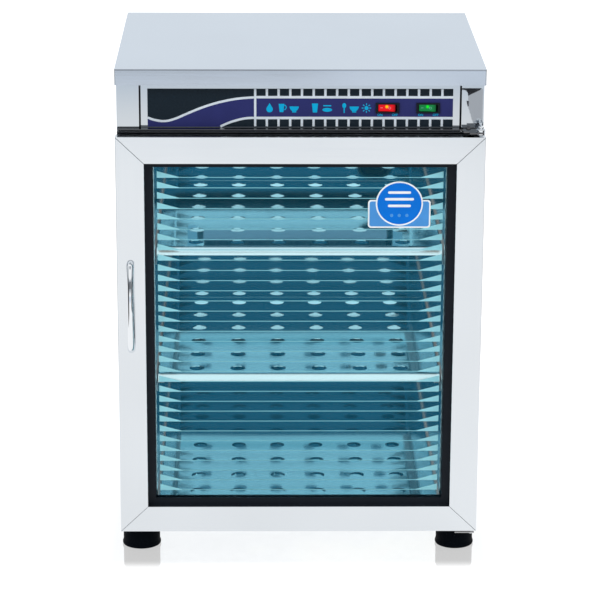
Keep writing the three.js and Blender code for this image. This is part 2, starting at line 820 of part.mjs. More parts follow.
function hingePlateTop() {
  const left = pivotX - hingePlateInset;
  const plate = block(left, insideHalf, pivotDepth, hingeTail, ledgeBottom, ledgeTop);
  const nose = block(left + hingeNose, insideHalf, pivotDepth - hingeNose, pivotDepth + overrun,
    ledgeBottom, ledgeTop);
  const hole = moved(rod('z', bushHole, ledgeBottom - overrun, ledgeTop + overrun, smallSides),
    pivotX, pivotDepth, 0);
  return cut(join([plate, nose]), [hole]);
}

function hingePlateBottom() {
  const left = pivotX - hingePlateInset;
  const high = bodyBottom;
  const low = bodyBottom - hingePlateThickness;
  const back = bodyFront - seat;
  const plate = block(left, insideHalf, pivotDepth - hingeNose, back, low, high);
  const leg = block(left, insideHalf, back - hingeLegThickness, back, low, high + hingeLegHeight);
  const hole = moved(rod('z', bushHole, low - overrun, high + overrun, smallSides), pivotX, pivotDepth, 0);
  return cut(join([plate, leg]), [hole]);
}

// The top pin carries a barrel and a capped nut above its plate
function hingePinTop() {
  const low = ledgeTop + seat;
  const high = low + pinBarrelHeight;
  return moved(join([
    rod('z', pinBarrelRadius, low, high, smallSides),
    rod('z', pinNutRadius, high - overrun, high + pinNutHeight, smallSides),
    rod('z', pinRadius, doorTop - pinReach, low + overrun, smallSides),
  ]), pivotX, pivotDepth, 0);
}

function hingePinBottom() {
  const high = bodyBottom - hingePlateThickness - seat;
  return moved(join([
    rod('z', pinHeadRadius, high - pinHeadHeight, high, smallSides),
    rod('z', pinRadius, high - overrun, doorBottom + pinReach, smallSides),
  ]), pivotX, pivotDepth, 0);
}

function hingeBush(low, high) {
  const body = rod('z', bushRadius, low, high, smallSides);
  const bore = rod('z', bushHole, low - overrun, high + overrun, smallSides);
  return moved(cut(body, [bore]), pivotX, pivotDepth, 0);
}

// Door switch: a body behind the front frame and a plunger that the closed door holds in

function doorSwitchBody() {
  const front = shellFront + sheet + seat;
  const body = block(doorSwitchX - doorSwitchWidth / 2, doorSwitchX + doorSwitchWidth / 2,
    front, front + doorSwitchDepth, doorSwitchZ - doorSwitchHeight / 2, doorSwitchZ + doorSwitchHeight / 2);
  const well = moved(rod('y', plungerRadius + seat, front - overrun, front + plungerWell, smallSides),
    doorSwitchX, 0, doorSwitchZ);
  return cut(body, [well]);
}

function doorSwitchPlunger() {
  const front = shellFront + sheet + seat;
  return moved(rod('y', plungerRadius, doorDepth + plungerClear, front + plungerWell - seat, smallSides),
    doorSwitchX, 0, doorSwitchZ);
}

// Places that several pieces share

const slotBottom = deckTop + flangeWidth;
const glandHeight = slotBottom + slotPitch;
const rockerTilt = THREE.MathUtils.degToRad(rockerTiltDegrees);
const holderMiddle = tubeLength / 2 + seat + capLength + seat + holderLength / 2;
const sightBottom = doorBottom + railFaceHeight + sightLapEnd;
const sightTop = doorTop - railFaceHeight - sightLapEnd;
const doorSwitchX = -halfWidth + doorSwitchInset;
const doorSwitchZ = doorTop - doorSwitchDrop;
const footPlaces = [];
for (const [depthName, y] of [['front', bodyFront + footSetback], ['rear', bodyBack - footSetback]]) {
  for (const [sideName, side] of [['left', -1], ['right', 1]]) {
    footPlaces.push({ name: `foot_${depthName}_${sideName}`, x: side * (halfWidth - footInset), y });
  }
}

// Assembly

add('top_cover', topCover(), satinSteel);
add('side_panel_left', sidePanel(-1), satinSteel);
add('side_panel_right', sidePanel(1), satinSteel);
add('back_panel', backPanel(), plainSteel);
add('base_pan', basePan(), plainSteel);
add('front_frame', frontFrame(), satinSteel);
add('component_deck', componentDeck(), plainSteel);
add('header_post_left', headerPost(-1), satinSteel);
add('header_post_right', headerPost(1), satinSteel);
add('control_fascia', controlFascia(), satinSteel);
add('control_label', controlLabel(), navyFilm);
add('front_ledge', frontLedge(), satinSteel);
liners();

add('shelf_upper', shelf(trayTop + shelfPitch * 2, shelfLip), polishedSteel);
add('shelf_lower', shelf(trayTop + shelfPitch, shelfLip), polishedSteel);
add('floor_tray', shelf(trayTop, trayRise - seat), polishedSteel);
for (const [levelName, level] of [['upper', 2], ['lower', 1]]) {
  for (const [sideName, side] of [['left', -1], ['right', 1]]) {
    add(`shelf_rail_${levelName}_${sideName}`, shelfRail(side, trayTop + shelfPitch * level), plainSteel);
  }
}

for (const place of footPlaces) {
  add(place.name, foot(), blackRubber).position.set(place.x, place.y, 0);
}

add('uv_lamp_tube', moved(rod('x', tubeRadius, -tubeLength / 2, tubeLength / 2, roundSides),
  0, lampDepth, lampHeight), lampGlass);
add('lamp_cap_left', lampCap(-1), aluminium);
add('lamp_cap_right', lampCap(1), aluminium);
add('lampholder_left', lampholder(-1), whitePlastic);
add('lampholder_right', lampholder(1), whitePlastic);
add('lamp_reflector', lampReflector(), aluminium);
add('ballast', ballast(), plainSteel);
add('starter_socket', starterSocket(), whitePlastic);
add('starter', starter(), whitePlastic);
add('terminal_block', terminalBlock(), whitePlastic);
add('cord_gland', cordGland(), blackRubber);

for (const [name, x] of Object.entries(switchPlaces)) {
  add(name.replace('rocker', 'switch_housing'), switchHousing(x), blackPlastic);
  const piece = add(name, rocker(), name === 'rocker_power' ? redLens : greenLens);
  piece.position.set(x, bezelFront + rockerDrop, switchHeight);
  piece.rotation.z = -rockerTilt;
}

doorFrame();
add('door_inner_frame', doorInnerFrame(), blackPlastic);
add('door_glass', doorGlass(), tintedGlass);
add('glass_retainer', glassRetainer(), blackPlastic);
add('door_seal', doorSeal(), greySeal);
add('door_handle', doorHandle(), chrome);

add('hinge_plate_top', hingePlateTop(), satinSteel);
add('hinge_plate_bottom', hingePlateBottom(), satinSteel);
add('hinge_pin_top', hingePinTop(), plainSteel);
add('hinge_pin_bottom', hingePinBottom(), plainSteel);
add('hinge_bush_top', hingeBush(doorTop - sheet - seat - bushLength, doorTop - sheet - seat), blackPlastic);
add('hinge_bush_bottom', hingeBush(doorBottom + sheet + seat, doorBottom + sheet + seat + bushLength), blackPlastic);

add('door_switch_body', doorSwitchBody(), blackPlastic);
add('door_switch_plunger', doorSwitchPlunger(), whitePlastic);

export default cabinet;
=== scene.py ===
# Dish sterilizer cabinet: the looks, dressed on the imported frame.
# Metres, or millimetres where a size is multiplied by MM. X runs to the right, Y to the back, Z up.
# Depths named setback are counted from the door's face.

import math

import bmesh
import bpy
from mathutils import Matrix, Vector


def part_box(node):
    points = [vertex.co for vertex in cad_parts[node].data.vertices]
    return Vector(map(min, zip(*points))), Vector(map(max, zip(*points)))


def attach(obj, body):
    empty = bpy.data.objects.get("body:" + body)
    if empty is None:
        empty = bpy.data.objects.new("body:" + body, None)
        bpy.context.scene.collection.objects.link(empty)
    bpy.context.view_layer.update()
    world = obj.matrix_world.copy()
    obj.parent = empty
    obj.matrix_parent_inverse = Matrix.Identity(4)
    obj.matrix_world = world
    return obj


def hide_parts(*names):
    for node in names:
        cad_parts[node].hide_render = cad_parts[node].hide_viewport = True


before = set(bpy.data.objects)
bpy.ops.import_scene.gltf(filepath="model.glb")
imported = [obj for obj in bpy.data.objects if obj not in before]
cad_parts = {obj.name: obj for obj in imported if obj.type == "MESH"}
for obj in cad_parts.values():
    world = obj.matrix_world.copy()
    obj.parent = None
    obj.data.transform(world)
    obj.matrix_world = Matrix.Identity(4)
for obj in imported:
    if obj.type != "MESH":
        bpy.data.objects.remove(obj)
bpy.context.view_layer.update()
scene = bpy.context.scene

MM = 0.001
door_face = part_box("door_rail_top")[0].y


def middle_of(node):
    low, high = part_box(node)
    return (low + high) / 2


def add_object(name, data):
    made = bpy.data.objects.new(name, data)
    scene.collection.objects.link(made)
    return made


# Camera, at the photograph's angle

CAMERA_DISTANCE = 3.5
CAMERA_ELEVATION = math.radians(17.656)
CAMERA_YAW = math.radians(0.958)
CAMERA_ROLL = math.radians(0.277)
CAMERA_X = -0.05557
CAMERA_PIVOT_HEIGHT = 0.335
CAMERA_AIM_HEIGHT = 0.36539
CAMERA_FOCAL_PIXELS = 2652.9
CAMERA_CLIP_END = 100
PICTURE_PIXELS = 600
SENSOR_WIDTH = 36


def make_camera():
    data = bpy.data.cameras.new("camera")
    data.sensor_width = SENSOR_WIDTH
    data.lens = CAMERA_FOCAL_PIXELS / PICTURE_PIXELS * SENSOR_WIDTH
    data.clip_end = CAMERA_CLIP_END
    camera = add_object("camera", data)
    reach = CAMERA_DISTANCE * math.cos(CAMERA_ELEVATION)
    height = CAMERA_PIVOT_HEIGHT + CAMERA_DISTANCE * math.sin(CAMERA_ELEVATION)
    pitch = math.atan2(height - CAMERA_AIM_HEIGHT, reach)
    camera.location = (CAMERA_X, door_face - reach, height)
    turn = (Matrix.Rotation(-CAMERA_YAW, 3, "Z") @ Matrix.Rotation(math.pi / 2 - pitch, 3, "X")
            @ Matrix.Rotation(CAMERA_ROLL, 3, "Z"))
    camera.rotation_euler = turn.to_euler()
    scene.camera = camera


# Node helpers for the materials and the world

# The colour sockets of a Mix node
MIX_FIRST, MIX_SECOND, MIX_RESULT = 6, 7, 2


class Nodes:
    """Short calls for the nodes of one material or of the world."""

    def __init__(self, tree):
        self.tree = tree

    def node(self, kind, **settings):
        made = self.tree.nodes.new(kind)
        for key, value in settings.items():
            setattr(made, key, value)
        return made

    def link(self, source, target):
        self.tree.links.new(source, target)

    def feed(self, target, value):
        """Sets a number or a colour on a socket, or links another node's output to it."""
        if isinstance(value, (int, float)):
            target.default_value = value
        elif isinstance(value, tuple):
            target.default_value = (*value, 1)
        else:
            self.link(value, target)

    def maths(self, operation, *values):
        node = self.node("ShaderNodeMath", operation=operation)
        for socket, value in zip(node.inputs, values):
            self.feed(socket, value)
        return node.outputs["Value"]

    def product(self, first, second):
        return self.maths("MULTIPLY", first, second)

    def split(self, source):
        """The X, Y and Z of a vector."""
        parts = self.node("ShaderNodeSeparateXYZ")
        self.link(source, parts.inputs["Vector"])
        return parts.outputs

    def spread(self, source, low, high, from_low=0.3, from_high=0.7, interpolation="LINEAR"):
        reach = self.node("ShaderNodeMapRange", interpolation_type=interpolation)
        names = ("From Min", "From Max", "To Min", "To Max")
        for name, value in zip(names, (from_low, from_high, low, high)):
            reach.inputs[name].default_value = value
        self.link(source, reach.inputs["Value"])
        return reach.outputs["Result"]

    def ramp(self, source, low, high):
        """0 up to low and 1 from high on, with a soft change between."""
        return self.spread(source, 0, 1, low, high, "SMOOTHSTEP")

    def blend(self, factor, first, second):
        mix = self.node("ShaderNodeMix", data_type="RGBA")
        self.link(factor, mix.inputs["Factor"])
        self.feed(mix.inputs[MIX_FIRST], first)
        self.feed(mix.inputs[MIX_SECOND], second)
        return mix.outputs[MIX_RESULT]

    def seen_directly(self):
        """The kinds of ray, and 1 for the three kinds that all see the plain background."""
        path = self.node("ShaderNodeLightPath").outputs
        seen = self.maths("MAXIMUM", path["Is Camera Ray"], path["Is Glossy Ray"])
        return path, self.maths("MAXIMUM", seen, path["Is Transmission Ray"])


class Finish(Nodes):
    """A material with a Principled shader, called a finish or a material below."""

    def __init__(self, name, colour, roughness, metallic=0.0):
        self.material = bpy.data.materials.new(name)
        self.material.use_nodes = True
        super().__init__(self.material.node_tree)
        self.shader = self.tree.nodes["Principled BSDF"]
        self.set("Base Color", (*colour, 1))
        self.set("Roughness", roughness)
        self.set("Metallic", metallic)
        self.place = self.node("ShaderNodeTexCoord").outputs["Object"]

    def noise(self, stretch, detail=3.0):
        """Soft noise of so many waves to the metre, by one number or by one for each axis."""
        mapping = self.node("ShaderNodeMapping")
        mapping.inputs["Scale"].default_value = stretch if isinstance(stretch, tuple) else (stretch,) * 3
        self.link(self.place, mapping.inputs["Vector"])
        texture = self.node("ShaderNodeTexNoise")
        texture.inputs["Scale"].default_value = 1
        texture.inputs["Detail"].default_value = detail
        self.link(mapping.outputs["Vector"], texture.inputs["Vector"])
        return texture.outputs["Fac"]

    def colour(self, source):
        self.link(source, self.shader.inputs["Base Color"])

    def rough(self, source):
        self.link(source, self.shader.inputs["Roughness"])

    def bump(self, sources):
        """Bumps stacked on each other, from pairs of a height source and a height in metres."""
        normal = None
        for source, height in sources:
            bump = self.node("ShaderNodeBump")
            bump.inputs["Strength"].default_value = 1
            bump.inputs["Distance"].default_value = height
            self.link(source, bump.inputs["Height"])
            if normal is not None:
                self.link(normal, bump.inputs["Normal"])
            normal = bump.outputs["Normal"]
        self.link(normal, self.shader.inputs["Normal"])

    def set(self, socket, value):
        self.shader.inputs[socket].default_value = value

    def shine(self, light, strength=1):
        self.set("Emission Color", (*light, 1))
        self.set("Emission Strength", strength)
        return self

    def mix_shaders(self, factor, first, second):
        mix = self.node("ShaderNodeMixShader")
        for socket, source in zip(mix.inputs, (factor, first, second)):
            self.link(source, socket)
        return mix.outputs["Shader"]

    def surface(self, shader):
        self.link(shader, self.tree.nodes["Material Output"].inputs["Surface"])


def scaled(values, share):
    return tuple(value * share for value in values)


# Steel sheets

SOFT_WAVE = 2.6
WAVE_HEIGHT = 0.0006
SLIGHT_WAVE = 0.0002
MIRROR_WAVE = 0.0007
GRAIN_HEIGHT = 0.000004
FAINT_GRAIN = 0.000001
SHEET_CLOUDS = 5
ACROSS = (9, 900, 900)
UPRIGHT = (900, 900, 9)
INWARD = (900, 9, 900)
CHAMBER_GRAIN = (12, 700, 700)


def steel_finish(name, colour, roughness, grain, wave=WAVE_HEIGHT, grain_height=GRAIN_HEIGHT):
    """Sheet steel with long fine grain and the slow waviness of rolled sheet."""
    finish = Finish(name, colour, roughness, 1.0)
    lines = finish.noise(grain, detail=4)
    finish.rough(finish.spread(lines, roughness * 0.8, roughness * 1.25))
    finish.bump([(finish.noise(SOFT_WAVE, detail=1), wave), (lines, grain_height)])
    return finish


def steel(name, colour, roughness, grain, **heights):
    """Sheet steel that is faintly clouded."""
    finish = steel_finish(name, colour, roughness, grain, **heights)
    clouds = finish.spread(finish.noise(SHEET_CLOUDS, detail=2), 0, 1)
    finish.colour(finish.blend(clouds, scaled(colour, 0.975), scaled(colour, 1.02)))
    return finish


def satin_steel():
    return steel("satin_steel", (0.755, 0.79, 0.825), 0.12, ACROSS)


COVER_TOP = (0.635, 0.705, 0.785)
COVER_LIP_SHADED = (0.635, 0.685, 0.755)
LIP_FACING = (-0.9, -0.4)
FOLD_SHADE_SHARE = 0.6
FOLD_BAND = (0.0013, 0.0022)


def cover_steel():
    """The lid's sheet, with a darker painted shade on its turned-down front lip, chosen by which way each face
    points.
    """
    finish = steel_finish("cover_steel", COVER_TOP, 0.14, ACROSS)
    # The lip's darker tone is painted shade, picked by the way each face points.
    facing = finish.split(finish.node("ShaderNodeNewGeometry").outputs["Normal"])
    tone = finish.blend(finish.spread(facing["Y"], 1, 0, *LIP_FACING), COVER_TOP, COVER_LIP_SHADED)
    # The fold between the top and the front lip is painted darker, a painted shade line along the crease
    low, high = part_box("top_cover")
    place = finish.split(finish.place)
    behind = finish.spread(place["Y"], 0, 1, low.y + FOLD_BAND[0], low.y + FOLD_BAND[1])
    below = finish.spread(place["Z"], 1, 0, high.z - FOLD_BAND[1], high.z - FOLD_BAND[0])
    away = finish.maths("MAXIMUM", behind, below)
    clouds = finish.spread(finish.noise(SHEET_CLOUDS, detail=2), 0.97, 1.02)
    dark = finish.product(finish.spread(away, FOLD_SHADE_SHARE, 1, 0, 1), clouds)
    shade = finish.node("ShaderNodeVectorMath", operation="SCALE")
    finish.link(tone, shade.inputs[0])
    finish.link(dark, shade.inputs["Scale"])
    finish.colour(shade.outputs["Vector"])
    return finish


def upright_steel():
    return steel("upright_steel", (0.755, 0.79, 0.825), 0.12, UPRIGHT)


def header_steel():
    return steel("header_steel", (0.60, 0.64, 0.68), 0.014, UPRIGHT, grain_height=FAINT_GRAIN)


def side_steel():
    return steel("side_steel", (0.59, 0.63, 0.67), 0.24, INWARD)


def ledge_steel():
    return steel("ledge_steel", (0.13, 0.13, 0.135), 0.1, ACROSS, wave=SLIGHT_WAVE)


def hinge_steel():
    return steel("hinge_steel", (0.36, 0.365, 0.37), 0.14, (60, 60, 900), wave=SLIGHT_WAVE)


# Painted glow: emission on the pieces in and round the chamber, standing in for the light that reaches them
# from the lit lamp
PAINTED_LAMP_GLOW = (0.001, 0.016, 0.025)
PAINTED_STRIP_GLOW = (0.26, 0.18, 0.15)
PAINTED_LIP_BACK_GLOW = (0.40, 0.64, 0.70)
PAINTED_HOLDER_GLOW = (0.20, 0.36, 0.45)


# The chamber's mirror steel carries a faint painted glow for the lamp's light.
def mirror_steel():
    return steel("mirror_steel", (0.66, 0.785, 0.825), 0.045, CHAMBER_GRAIN, wave=MIRROR_WAVE,
                 grain_height=FAINT_GRAIN).shine(PAINTED_LAMP_GLOW)


def lip_steel():
    """The shelves' bright folds, pale steel with a painted glow for the lamp's light that they catch most."""
    finish = steel("lip_steel", (0.95, 0.965, 0.97), 0.2, CHAMBER_GRAIN, wave=SLIGHT_WAVE)
    return finish.shine(PAINTED_STRIP_GLOW)


def lip_back():
    """The hidden side of the shelves' folds, with a painted glow for the lamp's light close by."""
    return steel("lip_back", (0.3, 0.32, 0.34), 0.3, CHAMBER_GRAIN).shine(PAINTED_LIP_BACK_GLOW)


# The side liners carry a painted glow for the lamp's light.
def wall_steel():
    return steel("wall_steel", (0.36, 0.44, 0.48), 0.16, (12, 900, 900)).shine(PAINTED_LAMP_GLOW)


PLAIN_COLOUR = (0.52, 0.55, 0.57)
PLAIN_DARK = (0.48, 0.51, 0.535)
PLAIN_PALE = (0.58, 0.61, 0.63)
PLAIN_CLOUDS = 6
SPANGLE_SCALE = 140
SPANGLE_HEIGHT = 0.000006
PLAIN_WAVE = 0.0008


def plain_steel(name="plain_steel", light=1.0):
    """Galvanised sheet with its spangle; light scales its colours, and above 1 gives a copy with painted
    brightness that stands in for light on it.
    """
    finish = Finish(name, scaled(PLAIN_COLOUR, light), 0.42, 1.0)
    spangle = finish.node("ShaderNodeTexVoronoi")
    spangle.inputs["Scale"].default_value = SPANGLE_SCALE
    finish.link(finish.place, spangle.inputs["Vector"])
    flake = spangle.outputs["Color"]
    finish.rough(finish.spread(flake, 0.34, 0.52, 0, 1))
    clouds = finish.spread(finish.noise(PLAIN_CLOUDS), 0, 1)
    finish.colour(finish.blend(clouds, scaled(PLAIN_DARK, light), scaled(PLAIN_PALE, light)))
    finish.bump([(finish.noise(SOFT_WAVE, detail=1), PLAIN_WAVE), (flake, SPANGLE_HEIGHT)])
    return finish


# Other materials

TOOTH_HEIGHT = 0.00002


def even_finish(name, colour, roughness, drift, span, tooth, height=TOOTH_HEIGHT, detail=2, metallic=0.0,
                specular=None):
    """An even surface: its gloss drifts over a span, and a fine tooth of some height stands on it."""
    finish = Finish(name, colour, roughness, metallic)
    finish.rough(finish.spread(finish.noise(drift), *span))
    finish.bump([(finish.noise(tooth, detail=detail), height)])
    if specular is not None:
        finish.set("Specular IOR Level", specular)
    return finish


def chrome():
    return even_finish("chrome", (0.84, 0.87, 0.9), 0.035, drift=60, span=(0.025, 0.06), tooth=30,
                       detail=1, metallic=1.0)


def black_plastic():
    return even_finish("black_plastic", (0.0075, 0.0105, 0.016), 0.36, drift=40, span=(0.3, 0.44), tooth=900,
                       specular=0.12)


def black_rubber():
    return even_finish("black_rubber", (0.0024, 0.0037, 0.006), 0.5, drift=50, span=(0.4, 0.62), tooth=600,
                       height=0.00003, detail=3, specular=0.02)


def grey_seal():
    return even_finish("grey_seal", (0.045, 0.05, 0.055), 0.6, drift=70, span=(0.5, 0.72), tooth=700,
                       height=0.00003)


def white_plastic(name="white_plastic"):
    return even_finish(name, (0.78, 0.78, 0.75), 0.42, drift=60, span=(0.35, 0.5), tooth=900)


def aluminium():
    return even_finish("aluminium", (0.74, 0.76, 0.77), 0.3, drift=(700, 8, 700), span=(0.22, 0.4),
                       tooth=(700, 8, 700), height=0.00001, detail=3, metallic=1.0)


def navy_film():
    return even_finish("navy_film", (0.0085, 0.0165, 0.0255), 0.26, drift=80, span=(0.22, 0.34), tooth=1200,
                       height=0.000008, specular=0.1)


def lamp_glass():
    finish = even_finish("lamp_glass", (0.82, 0.87, 0.92), 0.08, drift=40, span=(0.05, 0.14),
                         tooth=(20, 200, 200), detail=1)
    return finish.shine((0.62, 0.82, 1.0), 0.35)


def ink(name, colour):
    """Screen print: an even ink with a slight tooth and tone."""
    finish = even_finish(name, colour, 0.35, drift=90, span=(0.2975, 0.42), tooth=1500, height=0.000006,
                         specular=0.12)
    tone = finish.spread(finish.noise(45), 0, 1)
    finish.colour(finish.blend(tone, scaled(colour, 0.94), scaled(colour, 1.05)))
    return finish


GLASS_TINT = (0.68, 0.875, 0.92)


def tinted_glass():
    finish = Finish("tinted_glass", GLASS_TINT, 0.0)
    finish.set("Transmission Weight", 1.0)
    finish.set("IOR", 1.12)
    finish.set("Specular IOR Level", 0.2)
    finish.bump([(finish.noise(4, detail=1), 0.00005)])
    clear = finish.node("ShaderNodeBsdfTransparent")
    clear.inputs["Color"].default_value = (*GLASS_TINT, 1)
    shadow = finish.node("ShaderNodeLightPath").outputs["Is Shadow Ray"]
    finish.surface(finish.mix_shaders(shadow, finish.shader.outputs["BSDF"], clear.outputs["BSDF"]))
    return finish


SPOT_RISE = 1.5
SPOT_REACH = (0.0006, 0.0028)
DIM_END = (0.0062, 0.0105)
DIM_SHARE = 0.3


def lens(name, body, glow, spot, centre):
    """A lit rocker: clear coloured plastic with the neon lamp's bright spot behind its middle."""
    finish = even_finish(name, body, 0.16, drift=300, span=(0.12, 0.24), tooth=500, height=0.00001, detail=3,
                         specular=0.14)
    # The spot is as wide at any depth, because the rocker's two halves meet below its tips
    flat = finish.node("ShaderNodeVectorMath", operation="MULTIPLY")
    finish.link(finish.place, flat.inputs[0])
    flat.inputs[1].default_value = (1, 0, 1)
    offset = finish.node("ShaderNodeVectorMath", operation="DISTANCE")
    finish.link(flat.outputs["Vector"], offset.inputs[0])
    offset.inputs[1].default_value = (centre[0], 0, centre[1])
    near = finish.spread(offset.outputs["Value"], 1, 0, *SPOT_REACH)
    finish.link(finish.blend(near, glow, spot), finish.shader.inputs["Emission Color"])
    # The lamp sits off the middle, so the far end of the rocker is darker
    across = finish.split(finish.place)["X"]
    far_end = finish.spread(across, 1, DIM_SHARE, centre[0] + DIM_END[0], centre[0] + DIM_END[1])
    finish.link(far_end, finish.shader.inputs["Emission Strength"])
    return finish


# Mesh helpers


def add_mesh(name, mesh, finishes, body, slot, smooth_angle=None, replaced=None):
    """A visible piece on one body, which may stand for a CAD node."""
    for polygon in mesh.polygons:
        polygon.use_smooth = smooth_angle is not None
    if smooth_angle is not None:
        mesh.set_sharp_from_angle(angle=math.radians(smooth_angle))
    for finish in finishes:
        mesh.materials.append(finish.material)
    piece = add_object(name, mesh)
    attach(piece, body)
    if replaced is not None:
        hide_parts(replaced)


def finish_mesh(shape, name):
    bmesh.ops.recalc_face_normals(shape, faces=shape.faces)
    mesh = bpy.data.meshes.new(name)
    shape.to_mesh(mesh)
    shape.free()
    return mesh


def add_shape(name, shape, *details, **more):
    add_mesh(name, finish_mesh(shape, name), *details, **more)


def evaluated_mesh(draft):
    """The mesh that an object shows, whose draft is then removed."""
    bpy.context.view_layer.update()
    mesh = bpy.data.meshes.new_from_object(draft.evaluated_get(bpy.context.evaluated_depsgraph_get()))
    bpy.data.objects.remove(draft)
    return mesh


def move_from(shape, start, matrix):
    """Moves the points that were added to a form since it had so many."""
    shape.verts.ensure_lookup_table()
    bmesh.ops.transform(shape, verts=shape.verts[start:], matrix=matrix)


def bridge(shape, first, second):
    """Four-sided faces between two closed loops of the same number of points."""
    quads = zip(first, first[1:] + first[:1], second[1:] + second[:1], second)
    return [shape.faces.new(quad) for quad in quads]


def add_loop(shape, outline, depth):
    return [shape.verts.new((x, depth, z)) for x, z in outline]


def add_plate(shape, outline, front, back, material=0):
    """A flat form in the door's plane, from pairs of X and Z, between two depths."""
    near = add_loop(shape, outline, front)
    far = add_loop(shape, outline, back)
    for face in [shape.faces.new(near), shape.faces.new(far[::-1]), *bridge(shape, far, near)]:
        face.material_index = material


def add_ring_plate(shape, outer, inner, front, back):
    """A flat ring between two outlines of the same number of points."""
    edges = ((outer, front), (inner, front), (inner, back), (outer, back))
    loops = [add_loop(shape, *edge) for edge in edges]
    for first, second in zip(loops, loops[1:] + loops[:1]):
        bridge(shape, first, second)


def rectangle(x0, x1, z0, z1):
    return [(x0, z0), (x1, z0), (x1, z1), (x0, z1)]


def ellipse(x, z, half_x, half_z, sides=32, start=0.0, sweep=math.tau):
    """A whole ellipse, or the part of it that a smaller sweep covers."""
    steps = sides if sweep == math.tau else sides + 1
    return [(x + half_x * math.cos(start + sweep * step / sides),
             z + half_z * math.sin(start + sweep * step / sides)) for step in range(steps)]


def rounded_rectangle(x0, x1, z0, z1, radius, steps=6):
    points = []
    corners = [(x1 - radius, z1 - radius), (x0 + radius, z1 - radius),
               (x0 + radius, z0 + radius), (x1 - radius, z0 + radius)]
    for quarter, (x, z) in enumerate(corners):
        for step in range(steps + 1):
            angle = math.pi / 2 * (quarter + step / steps)
            points.append((x + radius * math.cos(angle), z + radius * math.sin(angle)))
    return points


def in_metres(outline):
    return [(x * MM, z * MM) for x, z in outline]


# Printed stripes on the door glass

STRIPE_COUNT = 32
STRIPE_TOP = 526.7
STRIPE_PITCH = 14.05
STRIPE_LINE = 1.05
STRIPE_HALF = 187.0
WEDGE_HEIGHT = 9.0
WEDGE_WIDTH = 29.0
PRINT_DEPTH = 0.15


def glass_print(wedge_ink, line_ink):
    shape = bmesh.new()
    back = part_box("door_glass")[0].y
    front = back - PRINT_DEPTH * MM
    inner = STRIPE_HALF - WEDGE_WIDTH
    for index in range(STRIPE_COUNT):
        bottom = STRIPE_TOP - index * STRIPE_PITCH
        top = bottom + STRIPE_LINE
        add_plate(shape, in_metres(rectangle(-inner, inner, bottom, top)), front, back, 1)
        for side in (-1, 1):
            wedge = [(side * STRIPE_HALF, bottom), (side * inner, bottom), (side * inner, top),
                     (side * STRIPE_HALF, bottom + WEDGE_HEIGHT)]
            add_plate(shape, in_metres(wedge), front, back)
    add_shape("glass_print", shape, [wedge_ink, line_ink], "door", "tinted_glass")


# Shelves with smooth round holes, folded from one sheet

HOLE_RADIUS = 10
HOLE_PITCH = 55
HOLE_ROW_PITCH = 60
HOLE_SIDES = 48
SHEET = 1.2
FOLD_RADIUS = 1.6
FOLD_STEPS = 4
FIELD_MARGIN = 5
COLUMNS = 6
ROWS = 6
SAME_PLACE = 0.000001
NO_LEAN = 0.000000001
STEEP = 0.5
PLATE, LIP, LIP_BACK = range(3)


def cell_angles(x0, x1, y0, y1, cx, cy):
    """Directions from the middle of a cell, with one exactly to each of its corners."""
    angles = [math.tau * step / HOLE_SIDES for step in range(HOLE_SIDES)]
    for x in (x0, x1):
        for y in (y0, y1):
            corner = math.atan2(y - cy, x - cx) % math.tau
            nearest = min(range(HOLE_SIDES), key=lambda step: abs(angles[step] - corner))
            angles[nearest] = corner
    return angles


def reach_to_edge(direction, low, high, middle):
    """How far a direction runs from the middle to the nearer edge along one axis."""
    if abs(direction) < NO_LEAN:
        return math.inf
    return ((high if direction > 0 else low) - middle) / direction


def grid_cell(shape, x0, x1, y0, y1, cx, cy, z):
    """One rectangle of sheet with a round hole in it, as four-sided faces."""
    corners = []
    rim = []
    for angle in cell_angles(x0, x1, y0, y1, cx, cy):
        away = Vector((math.cos(angle), math.sin(angle)))
        reach = min(reach_to_edge(away.x, x0, x1, cx), reach_to_edge(away.y, y0, y1, cy))
        for ring, length in ((corners, reach), (rim, HOLE_RADIUS * MM)):
            ring.append(shape.verts.new((cx + away.x * length, cy + away.y * length, z)))
    bridge(shape, corners, rim)


def shelf_rings(low, high):
    """The folds and the lips as rings round the plate: half width, front, back and height."""
    edge = FOLD_RADIUS * MM
    rings = []
    for step in range(FOLD_STEPS + 1):
        angle = math.pi / 2 * step / FOLD_STEPS
        inset = edge * (1 - math.sin(angle))
        down = edge * (1 - math.cos(angle))
        rings.append((high.x - inset, low.y + inset, high.y - inset, high.z - down))
    return rings + [(high.x, low.y, high.y, low.z)]


def thickened(mesh, thickness):
    """The mesh with a sheet's thickness on its inner side."""
    draft = add_object("draft", mesh)
    skin = draft.modifiers.new("sheet", "SOLIDIFY")
    skin.thickness = thickness
    skin.offset = -1
    return evaluated_mesh(draft)


